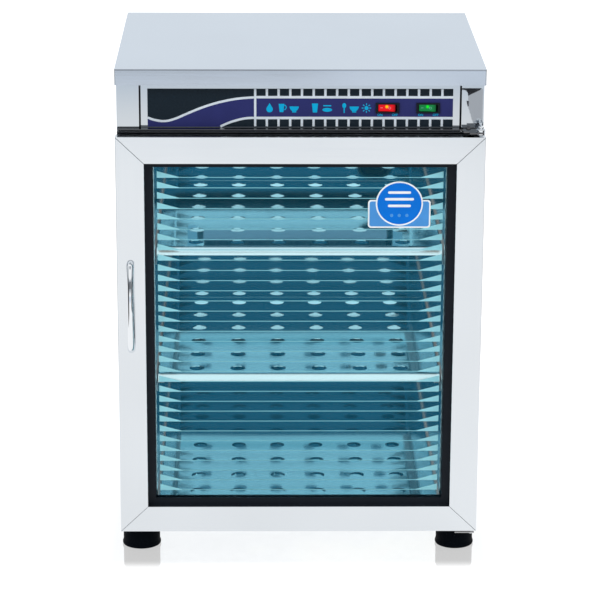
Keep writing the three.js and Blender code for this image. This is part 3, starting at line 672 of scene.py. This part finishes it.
def perforated_shelf(name, node, finishes):
    """The shelf of a node, on the body of the same name."""
    low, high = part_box(node)
    middle_y = (low.y + high.y) / 2
    half = HOLE_PITCH * MM / 2
    half_row = HOLE_ROW_PITCH * MM / 2
    columns = [(2 * index - COLUMNS + 1) * half for index in range(COLUMNS)]
    rows = [middle_y + (2 * index - ROWS + 1) * half_row for index in range(ROWS)]
    field_x = COLUMNS * half
    front, back = low.y + FIELD_MARGIN * MM, high.y - FIELD_MARGIN * MM
    shape = bmesh.new()
    for cx in columns:
        for cy in rows:
            grid_cell(shape, cx - half, cx + half, max(cy - half_row, front), min(cy + half_row, back),
                      cx, cy, high.z)
    bmesh.ops.remove_doubles(shape, verts=shape.verts, dist=SAME_PLACE)
    border = [vert for vert in shape.verts if abs(abs(vert.co.x) - field_x) < SAME_PLACE
              or abs(vert.co.y - front) < SAME_PLACE or abs(vert.co.y - back) < SAME_PLACE]
    border.sort(key=lambda vert: math.atan2(vert.co.y - middle_y, vert.co.x))
    last = border
    for half_x, y0, y1, z in shelf_rings(low, high):
        loop = []
        for vert in border:
            share_x = vert.co.x / field_x
            share_y = (vert.co.y - middle_y) / (back - middle_y)
            loop.append(shape.verts.new((share_x * half_x, (y0 + y1) / 2 + share_y * (y1 - y0) / 2, z)))
        bridge(shape, last, loop)
        last = loop
    bmesh.ops.recalc_face_normals(shape, faces=shape.faces)
    for face in shape.faces:
        face.material_index = LIP if abs(face.normal.z) < STEEP else PLATE
    sheet = thickened(finish_mesh(shape, name), SHEET * MM)
    for face in sheet.polygons:
        away = face.normal.x * face.center.x + face.normal.y * (face.center.y - middle_y)
        if face.material_index == LIP and away < 0:
            face.material_index = LIP_BACK
    add_mesh(name, sheet, finishes, node, "polished_steel", smooth_angle=40, replaced=node)


# Control label: the printed band, its pale lines and squares, with plain pictograms on the band

LABEL_LEFT = -198.6
SQUARES_LEFT = -57.2
SQUARE_PITCH = 15.2
SQUARE_WIDTH = 12.1
SQUARE_COLUMNS = 17
LOW_SQUARES_TOP = 601.3
HIGH_SQUARES_BOTTOM = 632.3
BAND = (604.7, 629.1)
PALE_LINE = 3.0
LINE_LIFT = 0.6
BAND_UPPER_CURVE = [
    (-198.6, 603.4), (-190, 600.4), (-180, 598.8), (-171, 599.5), (-160, 603.0), (-150, 607.5),
    (-135, 614.0), (-120, 619.6), (-105, 624.0), (-90, 627.3), (-75, 629.4), (-60, 630.4),
]
BAND_LOWER_CURVE = [(-104, 591.6), (-92, 597.0), (-79, 601.0), (-69, 602.8), (-60, 603.2)]
INK_DEPTH = 0.12
LINE_LAYERS = 1.5
ICON_LAYERS = 1.7
WINDOW_LAP = 1.5
WINDOW_LIP = 1

label_low, label_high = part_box("control_label")
label_right = label_high.x / MM
label_bottom = label_low.z / MM
label_top = label_high.z / MM


def curve_strip(points, half):
    """A strip of even width along a run of points."""
    left = []
    right = []
    for index, (x, z) in enumerate(points):
        before = Vector(points[max(index - 1, 0)])
        after = Vector(points[min(index + 1, len(points) - 1)])
        along = (after - before).normalized()
        left.append((x - along.y * half, z + along.x * half))
        right.append((x + along.y * half, z - along.x * half))
    return right + left[::-1]


def smooth_points(points, steps=5):
    """More points between the given ones, on a curve that passes through them."""
    result = []
    for index in range(len(points) - 1):
        nearby = [min(max(index + step, 0), len(points) - 1) for step in (-1, 0, 1, 2)]
        p0, p1, p2, p3 = (Vector(points[place]) for place in nearby)
        for step in range(steps):
            t = step / steps
            value = 0.5 * ((2 * p1) + (p2 - p0) * t + (2 * p0 - 5 * p1 + 4 * p2 - p3) * t * t
                           + (3 * p1 - p0 - 3 * p2 + p3) * t ** 3)
            result.append((value.x, value.y))
    result.append(points[-1])
    return result


def label_print(name, outlines, material, layers=1):
    """One colour printed on the label, so many layers of ink high."""
    shape = bmesh.new()
    for outline in outlines:
        add_plate(shape, in_metres(outline), label_low.y - INK_DEPTH * layers * MM, label_low.y)
    add_shape(name, shape, [material], "cabinet", "navy_film")


def label_band(material):
    upper = smooth_points(BAND_UPPER_CURVE)
    lower = smooth_points(BAND_LOWER_CURVE)
    outlines = [[(LABEL_LEFT, label_bottom), (lower[0][0], label_bottom), *lower,
                 (SQUARES_LEFT, BAND[0]), (SQUARES_LEFT, BAND[1]), *upper[::-1]]]
    # The rest of the band is left open round the two switches
    edge = SQUARES_LEFT
    for key in ("power", "lamp"):
        low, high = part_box("switch_housing_" + key)
        left = low.x / MM + WINDOW_LAP
        right = high.x / MM - WINDOW_LAP
        outlines += [rectangle(edge, left, *BAND),
                     rectangle(left, right, BAND[0], low.z / MM + WINDOW_LIP),
                     rectangle(left, right, high.z / MM - WINDOW_LIP, BAND[1])]
        edge = right
    outlines.append(rectangle(edge, label_right, *BAND))
    label_print("label_band", outlines, material)


def label_lines(material):
    foot = label_bottom + LINE_LIFT
    outlines = [rectangle(SQUARES_LEFT - PALE_LINE, SQUARES_LEFT, foot, label_top),
                rectangle(SQUARES_LEFT, label_right, BAND[1], HIGH_SQUARES_BOTTOM),
                rectangle(SQUARES_LEFT, label_right, LOW_SQUARES_TOP, BAND[0])]
    for curve in (BAND_UPPER_CURVE, BAND_LOWER_CURVE):
        outlines.append(curve_strip(smooth_points(curve), PALE_LINE / 2))
    for column in range(SQUARE_COLUMNS - 1):
        x0 = SQUARES_LEFT + column * SQUARE_PITCH + SQUARE_WIDTH
        x1 = SQUARES_LEFT + (column + 1) * SQUARE_PITCH
        outlines += [rectangle(x0, x1, HIGH_SQUARES_BOTTOM, label_top),
                     rectangle(x0, x1, foot, LOW_SQUARES_TOP)]
    label_print("label_lines", outlines, material, LINE_LAYERS)


# Pictograms of tableware, each drawn about its own middle in a field 13 mm high

BOWL = [ellipse(0, 2, 6, 6.5, 16, math.pi, math.pi), rectangle(-2.6, 2.6, -6, -4)]
CUP = [
    [(-4.2, 5.5), (-3, -5.5), (2, -5.5), (3.2, 5.5)],
    curve_strip(ellipse(3, 0.8, 2.6, 3.0, 10, -math.pi / 2, math.pi), 0.6),
]
TUMBLER = [[(-4, 6), (-2.8, -6), (2.8, -6), (4, 6)]]
DISH = [ellipse(0, -2.5, 6.4, 2.6, 20), rectangle(-5.2, 5.2, 2.2, 3.8)]
DROPLET = [ellipse(0, -1.6, 4.2, 4.2, 20, math.radians(150), math.radians(240)) + [(0, 6.5)]]
SPOON = [ellipse(0, 3.2, 2.6, 3.4, 18), rectangle(-0.8, 0.8, -6.5, 0)]
SUN_DISC = ellipse(0, 0, 2.6, 2.6, 20)
SUN_RAYS = 8
SUN_RAY_REACH = (3.8, 6.2)
SUN_RAY_HALF = 0.6


def sun():
    """A plain lamp sign: a disc with rays round it."""
    outlines = [SUN_DISC]
    for ray in range(SUN_RAYS):
        angle = math.tau * ray / SUN_RAYS
        along = (math.cos(angle), math.sin(angle))
        outlines.append(curve_strip([scaled(along, reach) for reach in SUN_RAY_REACH], SUN_RAY_HALF))
    return outlines


ICON_ROW = [
    (DROPLET, -40), (CUP, -24), (BOWL, -8), (TUMBLER, 19), (DISH, 35), (SPOON, 57), (BOWL, 70), (sun(), 86),
]
ICON_HEIGHT = 616.4


def label_icons(material):
    outlines = []
    for icon, place in ICON_ROW:
        outlines += [[(x + place, z + ICON_HEIGHT) for x, z in outline] for outline in icon]
    label_print("label_icons", outlines, material, ICON_LAYERS)


WORD_WEIGHT = 0.12
WORD_HEIGHT = 607.2
WORD_SIZE = 4.3
WORD_PLACE = 9.7


def word(name, text, x, material):
    """Plain switch lettering, cut as thin solid letters."""
    curve = bpy.data.curves.new(name, "FONT")
    curve.body = text
    curve.size = WORD_SIZE * MM
    curve.align_x = "CENTER"
    curve.align_y = "CENTER"
    curve.extrude = INK_DEPTH / 2 * MM
    curve.offset = WORD_WEIGHT * MM
    curve.resolution_u = 2
    mesh = evaluated_mesh(add_object(name + "_curve", curve))
    mesh.transform(Matrix.Translation((x * MM, label_low.y - INK_DEPTH * MM, WORD_HEIGHT * MM))
                   @ Matrix.Rotation(math.pi / 2, 4, "X"))
    mesh.materials.clear()
    add_mesh(name, mesh, [material], "cabinet", "navy_film")


def switch_words(material):
    for key in ("power", "lamp"):
        middle = middle_of("switch_housing_" + key).x / MM
        for side, text in ((-1, "ON"), (1, "OFF")):
            word(f"switch_{text.lower()}_{key}", text, middle + side * WORD_PLACE, material)


# Marks on the rockers: a bar for on and a ring for off

ROCKER_TILT = math.radians(9)
ROCKER_DROP = 7.4
ROCKER_TIP_RISE = 6
ROCKER_CREASE_RISE = 4.6
ROCKER_LENGTH = 21.6
BAR_PLACE = 6.9
RING_PLACE = 3.7
BAR = rectangle(-1.5, 1.5, -0.4, 0.4)
RING_OUTER = ellipse(0, 0, 1.7, 1.7, 28)
RING_INNER = ellipse(0, 0, 1.1, 1.1, 28)
MARK_DEPTH = 0.15


def rocker_marks(key, material):
    low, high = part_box("switch_housing_" + key)
    pivot = Vector(((low.x + high.x) / 2, low.y + ROCKER_DROP * MM, middle_of("rocker_" + key).z))
    # The rocker's face falls from each tip to the crease at its middle
    slope = (ROCKER_TIP_RISE - ROCKER_CREASE_RISE) / (ROCKER_LENGTH / 2)
    shape = bmesh.new()
    for side, place in ((-1, BAR_PLACE), (1, RING_PLACE)):
        start = len(shape.verts)
        if side < 0:
            add_plate(shape, in_metres(BAR), -MARK_DEPTH * MM, 0)
        else:
            add_ring_plate(shape, in_metres(RING_OUTER), in_metres(RING_INNER), -MARK_DEPTH * MM, 0)
        rise = ROCKER_CREASE_RISE + place * slope
        stand = (Matrix.Translation(pivot) @ Matrix.Rotation(-ROCKER_TILT, 4, "Z")
                 @ Matrix.Translation((side * place * MM, -rise * MM, 0))
                 @ Matrix.Rotation(-side * math.atan(slope), 4, "Z"))
        move_from(shape, start, stand)
    add_shape(f"rocker_{key}_marks", shape, [material], "rocker_" + key,
              "red_lens" if key == "power" else "green_lens")


# A plain sticker on the glass, in the blue, white and pale blue of the photographed one

WHITE_INK, BLUE_INK, PALE_INK = range(3)
STICKER_X = 130
STICKER_CARD = rounded_rectangle(89, 171, 459, 497, 4)
STICKER_CARD_FIELD = rounded_rectangle(91, 169, 461, 495, 3)
STICKER_DISC = ellipse(STICKER_X, 492, 31, 30, 48)
STICKER_DISC_FIELD = ellipse(STICKER_X, 492, 29, 28, 48)
STICKER_BARS = ((15, 507), (19, 498), (15, 489))
BAR_HALF_HEIGHT = 1.7
BAR_ROUND = 1.6
STICKER_DOTS = (-10, 0, 10)
DOT_HEIGHT = 476
DOT_RADIUS = 2.2
STICKER_LAYER = 0.06


def glass_sticker(*inks):
    layers = [(STICKER_CARD, WHITE_INK), (STICKER_CARD_FIELD, PALE_INK), (STICKER_DISC, WHITE_INK),
              (STICKER_DISC_FIELD, BLUE_INK)]
    fields = len(layers)
    for half, z in STICKER_BARS:
        sides = (STICKER_X - half, STICKER_X + half)
        bar = rounded_rectangle(*sides, z - BAR_HALF_HEIGHT, z + BAR_HALF_HEIGHT, BAR_ROUND, 4)
        layers.append((bar, WHITE_INK))
    for x in STICKER_DOTS:
        layers.append((ellipse(STICKER_X + x, DOT_HEIGHT, DOT_RADIUS, DOT_RADIUS, 16), PALE_INK))
    shape = bmesh.new()
    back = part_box("door_glass")[0].y - PRINT_DEPTH * MM
    for index, (outline, ink) in enumerate(layers):
        front = back - STICKER_LAYER * (1 + min(index, fields)) * MM
        add_plate(shape, in_metres(outline), front, back, ink)
    add_shape("glass_sticker", shape, inks, "door", "tinted_glass")


# Round pieces drawn smoother than the solids they stand for


def lathe(shape, profile, sides):
    """Adds a form turned about Z, from pairs of radius and height that start and end on the axis."""
    rings = []
    for radius, height in profile:
        if radius == 0:
            rings.append([shape.verts.new((0, 0, height))])
        else:
            circle = ellipse(0, 0, radius, radius, sides)
            rings.append([shape.verts.new((x, y, height)) for x, y in circle])
    for lower, upper in zip(rings, rings[1:]):
        for step in range(sides):
            after = (step + 1) % sides
            quad = [lower[step % len(lower)], lower[after % len(lower)],
                    upper[after % len(upper)], upper[step % len(upper)]]
            unique = list(dict.fromkeys(quad))
            if len(unique) > 2:
                shape.faces.new(unique)


def add_turned(name, profile, sides, node, *details):
    """A turned piece that stands for a node, at the node's middle as seen from above."""
    shape = bmesh.new()
    lathe(shape, profile, sides)
    middle = middle_of(node)
    bmesh.ops.translate(shape, verts=shape.verts, vec=(middle.x, middle.y, 0))
    add_shape(name, shape, *details, smooth_angle=35, replaced=node)


FOOT_PROFILE = [
    (0, 0), (23.5, 0), (25.6, 0.6), (26.2, 1.8), (26.2, 3.2), (25.7, 4.8), (25.1, 6.4), (25.0, 9),
    (25.0, 30.6), (24.6, 31.8), (23.9, 32.4), (23.5, 32.8), (23.5, 35.7), (5, 35.7), (5, 41.6), (0, 41.6),
]
FOOT_SIDES = 72


def feet(material):
    for depth in ("front", "rear"):
        for side in ("left", "right"):
            node = f"foot_{depth}_{side}"
            add_turned(f"rubber_{node}", in_metres(FOOT_PROFILE), FOOT_SIDES, node, [material], "cabinet",
                       "black_rubber")


HANDLE_SPAN = 116.6
HANDLE_REACH = 24
HANDLE_END_RADIUS = 5.2
HANDLE_WAIST_RADIUS = 3.7
HANDLE_STEPS = 64
HANDLE_SIDES = 32
SEAT = 0.3


def handle(material):
    """A bow that is thinner at its middle than at its ends."""
    middle = middle_of("door_handle")
    side = Vector((1, 0, 0))
    shape = bmesh.new()
    loops = []
    for step in range(HANDLE_STEPS + 1):
        angle = math.pi * step / HANDLE_STEPS
        centre = Vector((middle.x, door_face - (SEAT + HANDLE_REACH * math.sin(angle)) * MM,
                         middle.z + HANDLE_SPAN / 2 * math.cos(angle) * MM))
        along = Vector((0, -HANDLE_REACH * math.cos(angle), -HANDLE_SPAN / 2 * math.sin(angle))).normalized()
        out = along.cross(side)
        radius = HANDLE_WAIST_RADIUS + (HANDLE_END_RADIUS - HANDLE_WAIST_RADIUS) * math.cos(angle) ** 2
        circle = ellipse(0, 0, radius * MM, radius * MM, HANDLE_SIDES)
        loops.append([shape.verts.new(centre + side * across + out * off) for across, off in circle])
    for first, second in zip(loops, loops[1:]):
        bridge(shape, first, second)
    shape.faces.new(loops[0][::-1])
    shape.faces.new(loops[-1])
    add_shape("handle_bow", shape, [material], "door", "chrome", smooth_angle=50, replaced="door_handle")


PIVOT_PROFILE = [
    (5.6, 0), (6.3, 0.6), (6.3, 2.1), (5.6, 2.5), (6.3, 2.9), (6.3, 4.4), (5.6, 4.8), (6.3, 5.2),
    (6.3, 6.8), (5.6, 7.6), (3.7, 7.8), (3.7, 8.4), (4.2, 8.6), (4.2, 9.4), (3.8, 10.4), (2.8, 11.2),
    (1.5, 11.7), (0, 11.9),
]
PIVOT_SINK = 4.4
PIVOT_SHANK = 2.5
PIVOT_SIDES = 48


def pivot(material):
    """The top hinge pin: a grooved barrel round the plate's end, a capped nut above and the pin below."""
    low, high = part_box("hinge_pin_top")
    foot = high.z - (PIVOT_PROFILE[-1][1] + PIVOT_SINK) * MM
    profile = [(0, low.z), (PIVOT_SHANK * MM, low.z), (PIVOT_SHANK * MM, foot)]
    profile += [(radius * MM, foot + z * MM) for radius, z in PIVOT_PROFILE]
    add_turned("pivot_pin", profile, PIVOT_SIDES, "hinge_pin_top", [material], "cabinet", "plain_steel")


# Screws, each with a raised cross on its pan head

SCREW_PROFILE = [
    (0, -1.0), (1.6, -1.0), (1.6, 0), (3.6, 0), (3.55, 0.7), (3.2, 1.5), (2.5, 2.1), (1.4, 2.4), (0, 2.5),
]
SCREW_SIDES = 28
CROSS_BAR = (3.6, 0.7, 0.5)
CROSS_HEIGHT = 2.32
SCREW_TURN = 0.7
BACK_SCREWS = [(x, z) for x in (-228, 228) for z in (60, 250, 440, 640)]
BACK_SCREWS += [(x, z) for x in (-75, 75) for z in (46, 660)]
HINGE_SCREWS = [(219, 27)]
SMALL_SCREW = 0.9
BASE_SCREWS = [(x, setback) for x in (-100, 100) for setback in (60, 370)]


def at_height(places, height):
    """Points from pairs of X and setback, all at one height."""
    return [(x * MM, door_face + setback * MM, height) for x, setback in places]


def screws(name, places, towards, material, scale=1.0):
    """Screws that point one way, each stopped at its own angle."""
    shape = bmesh.new()
    unit = MM * scale
    turn = Vector((0, 0, 1)).rotation_difference(Vector(towards)).to_matrix().to_4x4()
    lift = Matrix.Translation((0, 0, CROSS_HEIGHT * unit))
    bar_form = lift @ Matrix.Diagonal((*scaled(CROSS_BAR, unit), 1))
    for index, place in enumerate(places):
        start = len(shape.verts)
        lathe(shape, [scaled(point, unit) for point in SCREW_PROFILE], SCREW_SIDES)
        for spin in (0, math.pi / 2):
            bar = bmesh.ops.create_cube(shape, size=1)["verts"]
            around = Matrix.Rotation(spin + index * SCREW_TURN, 4, "Z")
            bmesh.ops.transform(shape, verts=bar, matrix=around @ bar_form)
        move_from(shape, start, Matrix.Translation(place) @ turn)
    add_shape(name, shape, [material], "cabinet", "plain_steel", smooth_angle=35)


# Carried-over CAD nodes: a material each, and a small round on their edges

WELD_DISTANCE = 0.00001
EDGE_ANGLE = math.radians(40)
FINE_EDGE = 0.3
SHEET_EDGE = 0.4
FRAME_EDGE = 0.45
MOULDED_EDGE = 0.5
SEAL_EDGE = 0.8
LID_EDGE = 1.3


def dress(names, finish, edge=None):
    for name in names.split():
        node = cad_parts[name]
        node.data.materials.clear()
        node.data.materials.append(finish.material)
        if edge is not None:
            weld = node.modifiers.new("weld", "WELD")
            weld.merge_threshold = WELD_DISTANCE
            bevel = node.modifiers.new("edge", "BEVEL")
            bevel.width = edge * MM
            bevel.segments = 2
            bevel.limit_method = "ANGLE"
            bevel.angle_limit = EDGE_ANGLE
            bevel.use_clamp_overlap = True


# World: each reach is how far a direction leans where a part of the room starts, and where it is whole

WHITE = (1.0, 1.0, 1.0)
WORLD_TINT = (0.97, 0.985, 1.0)
WORLD_LEVEL = 0.62
REAR_SKY_GLOSSY = (0.84, 0.875, 0.91)
DARK_ROOM_GLOSSY = (0.42, 0.45, 0.48)
DARK_ROOM_THROUGH = (0.036, 0.142, 0.210)
FRONT_REACH = (0.25, 0.5)
ABOVE_REACH = (0.0, 0.12)
ROOM_TOP_REACH = (-0.85, -0.6)
WALL_TOP_REACH = (-0.44, -0.36)
AHEAD_REACH = (0.06, 0.2)
OVERHEAD_REACH = (0.84, 0.88)
ASIDE_REACH = (0.62, 0.8)
ASIDE_RISE_REACH = (-0.25, 0.05)
REAR_REACH = (0.2, 0.5)
REAR_RISE_REACH = (0.03, 0.12)


def make_world():
    world = bpy.data.worlds.new("studio")
    world.use_nodes = True
    scene.world = world
    nodes = Nodes(world.node_tree)
    way = nodes.split(nodes.node("ShaderNodeTexCoord").outputs["Generated"])
    forward = nodes.product(way["Y"], -1)
    down = nodes.product(way["Z"], -1)
    path, seen = nodes.seen_directly()
    # The room behind the camera is darker than the white floor and backdrop
    wall = nodes.product(nodes.ramp(forward, *FRONT_REACH), nodes.ramp(way["Z"], *ABOVE_REACH))
    room = nodes.product(wall, nodes.ramp(down, *ROOM_TOP_REACH))
    wall_ahead = nodes.product(wall, nodes.ramp(down, *WALL_TOP_REACH))
    overhead = nodes.product(nodes.ramp(forward, *AHEAD_REACH), nodes.ramp(way["Z"], *OVERHEAD_REACH))
    aside = nodes.ramp(nodes.maths("ABSOLUTE", way["X"]), *ASIDE_REACH)
    aside = nodes.product(aside, nodes.ramp(way["Z"], *ASIDE_RISE_REACH))
    room_glossy = nodes.maths("MAXIMUM", nodes.maths("MAXIMUM", wall_ahead, aside), overhead)
    glossy = nodes.blend(room_glossy, WHITE, DARK_ROOM_GLOSSY)
    through = nodes.blend(room, WHITE, DARK_ROOM_THROUGH)
    # The sky behind is a little dimmer for metal, which keeps the lid's tone
    rear = nodes.product(nodes.ramp(way["Y"], *REAR_REACH), nodes.ramp(way["Z"], *REAR_RISE_REACH))
    glossy = nodes.blend(rear, glossy, REAR_SKY_GLOSSY)
    shown = nodes.blend(path["Is Glossy Ray"], WHITE, glossy)
    shown = nodes.blend(path["Is Transmission Ray"], shown, through)
    background = nodes.tree.nodes["Background"]
    nodes.link(nodes.blend(seen, scaled(WORLD_TINT, WORLD_LEVEL), shown), background.inputs["Color"])
    background.inputs["Strength"].default_value = 1


# Lamps: name, place, size and power

LAMP_AIM = Vector((0, 0, 0.35))
LAMPS = (
    ("key", (-1.6, -2.4, 2.6), 1.6, 36),
    ("fill", (2.2, -1.8, 2.0), 1.8, 20),
    ("rear", (0.6, 2.6, 2.4), 1.8, 30),
)


def area_lamp(name, place, size, power):
    data = bpy.data.lights.new(name, "AREA")
    data.shape = "DISK"
    data.size = size
    data.energy = power
    lamp = add_object(name, data)
    lamp.location = place
    lamp.rotation_euler = (LAMP_AIM - Vector(place)).to_track_quat("-Z", "Y").to_euler()
    lamp.visible_camera = False
    lamp.visible_glossy = False


# Studio cards and the floor

STUDIO_ROUGHNESS = 0.9
CARD_COLOUR = (0.03, 0.03, 0.035)
CARD_DISTANCE = 0.9
SIDE_CARD = ((-1.1, 0.005), (-0.24, 0.005), (-0.24, 0.62), (-1.1, 0.62))
FRONT_CARD_DEPTH = -1.0
FRONT_CARD = ((-0.5, 0.51), (0.05, 0.51), (0.05, 0.7), (-0.5, 0.7))

# Small cards near the right post, by the places on the post's face that mirror them (x, z in mm)
POST_CARD_REACH = 0.56
NEAR_CARD_REACH = 0.54
BLACK_TONE = (0, 0, 0)
GREY_TONE = (0.53, 0.54, 0.56)
GREY_CARD = ((218.0, 633.0), (233.5, 640.8), (237.5, 642.8), (237.5, 593.0), (226.4, 593.0), (218.7, 617.0))
BLACK_CARD = ((209.9, 643.2), (209.9, 641.0), (213.8, 640.6), (216.1, 639.2), (217.7, 636.1), (218.0, 633.0),
              (233.3, 640.7), (236.0, 643.2))
SLOT_CARD = ((216.2, 626.3), (219.1, 626.3), (219.1, 618.9), (217.5, 618.9))


def mirrored_place(place, reach):
    """Where a point must stand to be mirrored at (x, z) on the right post, from the photograph's angle."""
    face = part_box("header_post_right")[0].y
    eye = scene.camera.location
    x, z = (value * MM for value in place)
    run = reach / (face - eye.y)
    return (x + (x - eye.x) * run, face - reach, z + (z - eye.z) * run)


def stage_sheet(name, corners, finish):
    shape = bmesh.new()
    shape.faces.new([shape.verts.new(corner) for corner in corners])
    mesh = finish_mesh(shape, name)
    mesh.materials.append(finish.material)
    sheet = add_object(name, mesh)
    return sheet


def studio_card(name, corners, tone=BLACK_TONE):
    """A flat card near the cabinet, black or of an even tone, which only polished metal sees."""
    finish = Finish(name, CARD_COLOUR, STUDIO_ROUGHNESS)
    card = stage_sheet(name, corners, finish.shine(tone))
    card.visible_camera = False
    card.visible_diffuse = False
    card.visible_transmission = False
    card.visible_shadow = False


def make_cards():
    for side, name in ((-1, "card_left"), (1, "card_right")):
        studio_card(name, [(side * CARD_DISTANCE, y, z) for y, z in SIDE_CARD])
    studio_card("card_front", [(x, FRONT_CARD_DEPTH, z) for x, z in FRONT_CARD])
    for name, places, reach, tone in (
        ("card_post_grey", GREY_CARD, POST_CARD_REACH, GREY_TONE),
        ("card_post_black", BLACK_CARD, NEAR_CARD_REACH, BLACK_TONE),
        ("card_post_slot", SLOT_CARD, NEAR_CARD_REACH, BLACK_TONE),
    ):
        studio_card(name, [mirrored_place(place, reach) for place in places], tone)


FLOOR_COLOUR = (0.9, 0.9, 0.9)
FLOOR_SIZE = 30
FLOOR_DROP = 0.0002
FLOOR_GLOW = 1.06
FLOOR_GLOW_SEEN = 1.53
FLOOR_GLOW_SHARE = 0.82
FLOOR_SHEEN_SHARE = 0.56
SHEEN_ROUGHNESS = 0.04
SHEEN_REACH = (0.008, 0.056)
FAR_FLOOR_COLOUR = (0.70, 0.78, 0.87)
FAR_FLOOR_REACH = (2.6, 3.2)


def floor_finish():
    finish = Finish("floor", FLOOR_COLOUR, STUDIO_ROUGHNESS)
    path, seen = finish.seen_directly()
    place = finish.split(finish.place)
    far = finish.product(finish.ramp(finish.product(place["Y"], -1), *FAR_FLOOR_REACH), path["Is Glossy Ray"])
    glow = finish.node("ShaderNodeEmission")
    finish.link(finish.blend(far, WHITE, FAR_FLOOR_COLOUR), glow.inputs["Color"])
    extra = finish.product(path["Is Camera Ray"], FLOOR_GLOW_SEEN - FLOOR_GLOW)
    finish.link(finish.maths("ADD", extra, FLOOR_GLOW), glow.inputs["Strength"])
    paper = finish.mix_shaders(finish.product(seen, FLOOR_GLOW_SHARE), finish.shader.outputs["BSDF"],
                               glow.outputs["Emission"])
    shine = finish.node("ShaderNodeBsdfGlossy")
    shine.inputs["Roughness"].default_value = SHEEN_ROUGHNESS
    # The floor is polished under and close round the cabinet, so only the feet are mirrored in it
    low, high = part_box("side_panel_left")
    centre = (door_face + high.y) / 2
    past_side = finish.maths("SUBTRACT", finish.maths("ABSOLUTE", place["X"]), -low.x)
    depth = finish.maths("ABSOLUTE", finish.maths("SUBTRACT", place["Y"], centre))
    past_front = finish.maths("SUBTRACT", depth, high.y - centre)
    outside = finish.ramp(finish.maths("MAXIMUM", past_side, past_front), *SHEEN_REACH)
    polish = finish.product(finish.maths("SUBTRACT", 1, outside), FLOOR_SHEEN_SHARE)
    polish = finish.product(path["Is Camera Ray"], polish)
    finish.surface(finish.mix_shaders(polish, paper, shine.outputs["BSDF"]))
    return finish


def make_floor():
    half = FLOOR_SIZE / 2
    corners = [(x, y, -FLOOR_DROP) for x, y in rectangle(-half, half, -half, half)]
    stage_sheet("floor", corners, floor_finish())


def make_studio():
    make_world()
    for lamp in LAMPS:
        area_lamp(*lamp)
    make_cards()
    make_floor()
    scene.view_settings.view_transform = "Standard"


# Assembly

make_camera()
make_studio()

plain = plain_steel()
# The base pan is a paler copy of the plain sheet: painted brightness, so its underside looks lit where the
# floor mirrors it.
bright_sheet = plain_steel("bright_sheet", 1.7)
ledge = ledge_steel()
mirror = mirror_steel()
lip = lip_steel()
polished = chrome()
plastic = black_plastic()
rubber = black_rubber()
# The lampholders' plastic has a painted glow for the lamp's light falling on them.
painted_glow_plastic = white_plastic("painted_glow_plastic").shine(PAINTED_HOLDER_GLOW)
cyan_ink = ink("cyan_ink", (0.0, 0.40, 0.70))

dress("door_rail_top door_rail_bottom front_frame", satin_steel(), FRAME_EDGE)
dress("door_stile_left door_stile_right", upright_steel(), FRAME_EDGE)
dress("header_post_left header_post_right control_fascia", header_steel(), FRAME_EDGE)
dress("top_cover", cover_steel(), LID_EDGE)
dress("side_panel_left side_panel_right", side_steel(), SHEET_EDGE)
dress("back_panel component_deck ballast", plain, FINE_EDGE)
for level in ("upper", "lower"):
    dress(f"shelf_rail_{level}_left shelf_rail_{level}_right", plain, FINE_EDGE)
dress("base_pan", bright_sheet, FINE_EDGE)
dress("front_ledge hinge_plate_top", ledge, SHEET_EDGE)
dress("hinge_plate_bottom", hinge_steel(), SHEET_EDGE)
dress("liner_back liner_ceiling liner_floor", mirror)
dress("liner_left liner_right", wall_steel())
dress("control_label", navy_film())
dress("door_inner_frame glass_retainer hinge_bush_top hinge_bush_bottom door_switch_body", plastic, FINE_EDGE)
dress("switch_housing_power switch_housing_lamp", plastic, MOULDED_EDGE)
dress("door_seal", grey_seal(), SEAL_EDGE)
dress("cord_gland", rubber, MOULDED_EDGE)
dress("door_glass", tinted_glass(), FINE_EDGE)
dress("uv_lamp_tube", lamp_glass())
dress("lamp_cap_left lamp_cap_right lamp_reflector", aluminium())
dress("starter_socket starter terminal_block door_switch_plunger", white_plastic(), SHEET_EDGE)
# The lampholders take the plastic with the painted glow.
dress("lampholder_left lampholder_right", painted_glow_plastic, SHEET_EDGE)
dress("hinge_pin_bottom", polished, MOULDED_EDGE)

for key, body, glow, spot, mark in (
    ("power", (0.16, 0.002, 0.003), (0.66, 0.003, 0.010), (1.0, 0.66, 0.0), (0.85, 0.26, 0.28)),
    ("lamp", (0.003, 0.05, 0.018), (0.002, 0.165, 0.035), (0.0, 0.95, 0.0), (0.12, 0.42, 0.30)),
):
    middle = middle_of("rocker_" + key)
    centre = (middle.x, middle.z + SPOT_RISE * MM)
    dress("rocker_" + key, lens(f"{key}_lens", body, glow, spot, centre), SHEET_EDGE)
    rocker_marks(key, ink(f"{key}_mark_ink", mark))

glass_print(ink("stripe_ink", (0.29, 0.66, 0.745)), ink("line_ink", (0.19, 0.50, 0.585)))
glass_sticker(ink("white_ink", (0.86, 0.9, 0.92)), ink("blue_ink", (0.0, 0.165, 0.68)),
              ink("soft_blue_ink", (0.075, 0.30, 0.70)))
shelf_finishes = [mirror, lip, lip_back()]
perforated_shelf("shelf_sheet_upper", "shelf_upper", shelf_finishes)
perforated_shelf("shelf_sheet_lower", "shelf_lower", shelf_finishes)
perforated_shelf("floor_tray_sheet", "floor_tray", [mirror, lip, mirror])
label_band(ink("band_ink", (0.0235, 0.028, 0.135)))
label_lines(ink("pale_ink", (0.66, 0.73, 0.80)))
label_icons(cyan_ink)
switch_words(cyan_ink)
feet(rubber)
handle(polished)
pivot(polished)

back_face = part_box("back_panel")[1].y
screws("back_screws", [(x * MM, back_face, z * MM) for x, z in BACK_SCREWS], (0, 1, 0), plain)
screws("hinge_screws", at_height(HINGE_SCREWS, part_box("hinge_plate_top")[1].z), (0, 0, 1), ledge, SMALL_SCREW)
screws("base_screws", at_height(BASE_SCREWS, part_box("base_pan")[0].z), (0, 0, -1), bright_sheet)
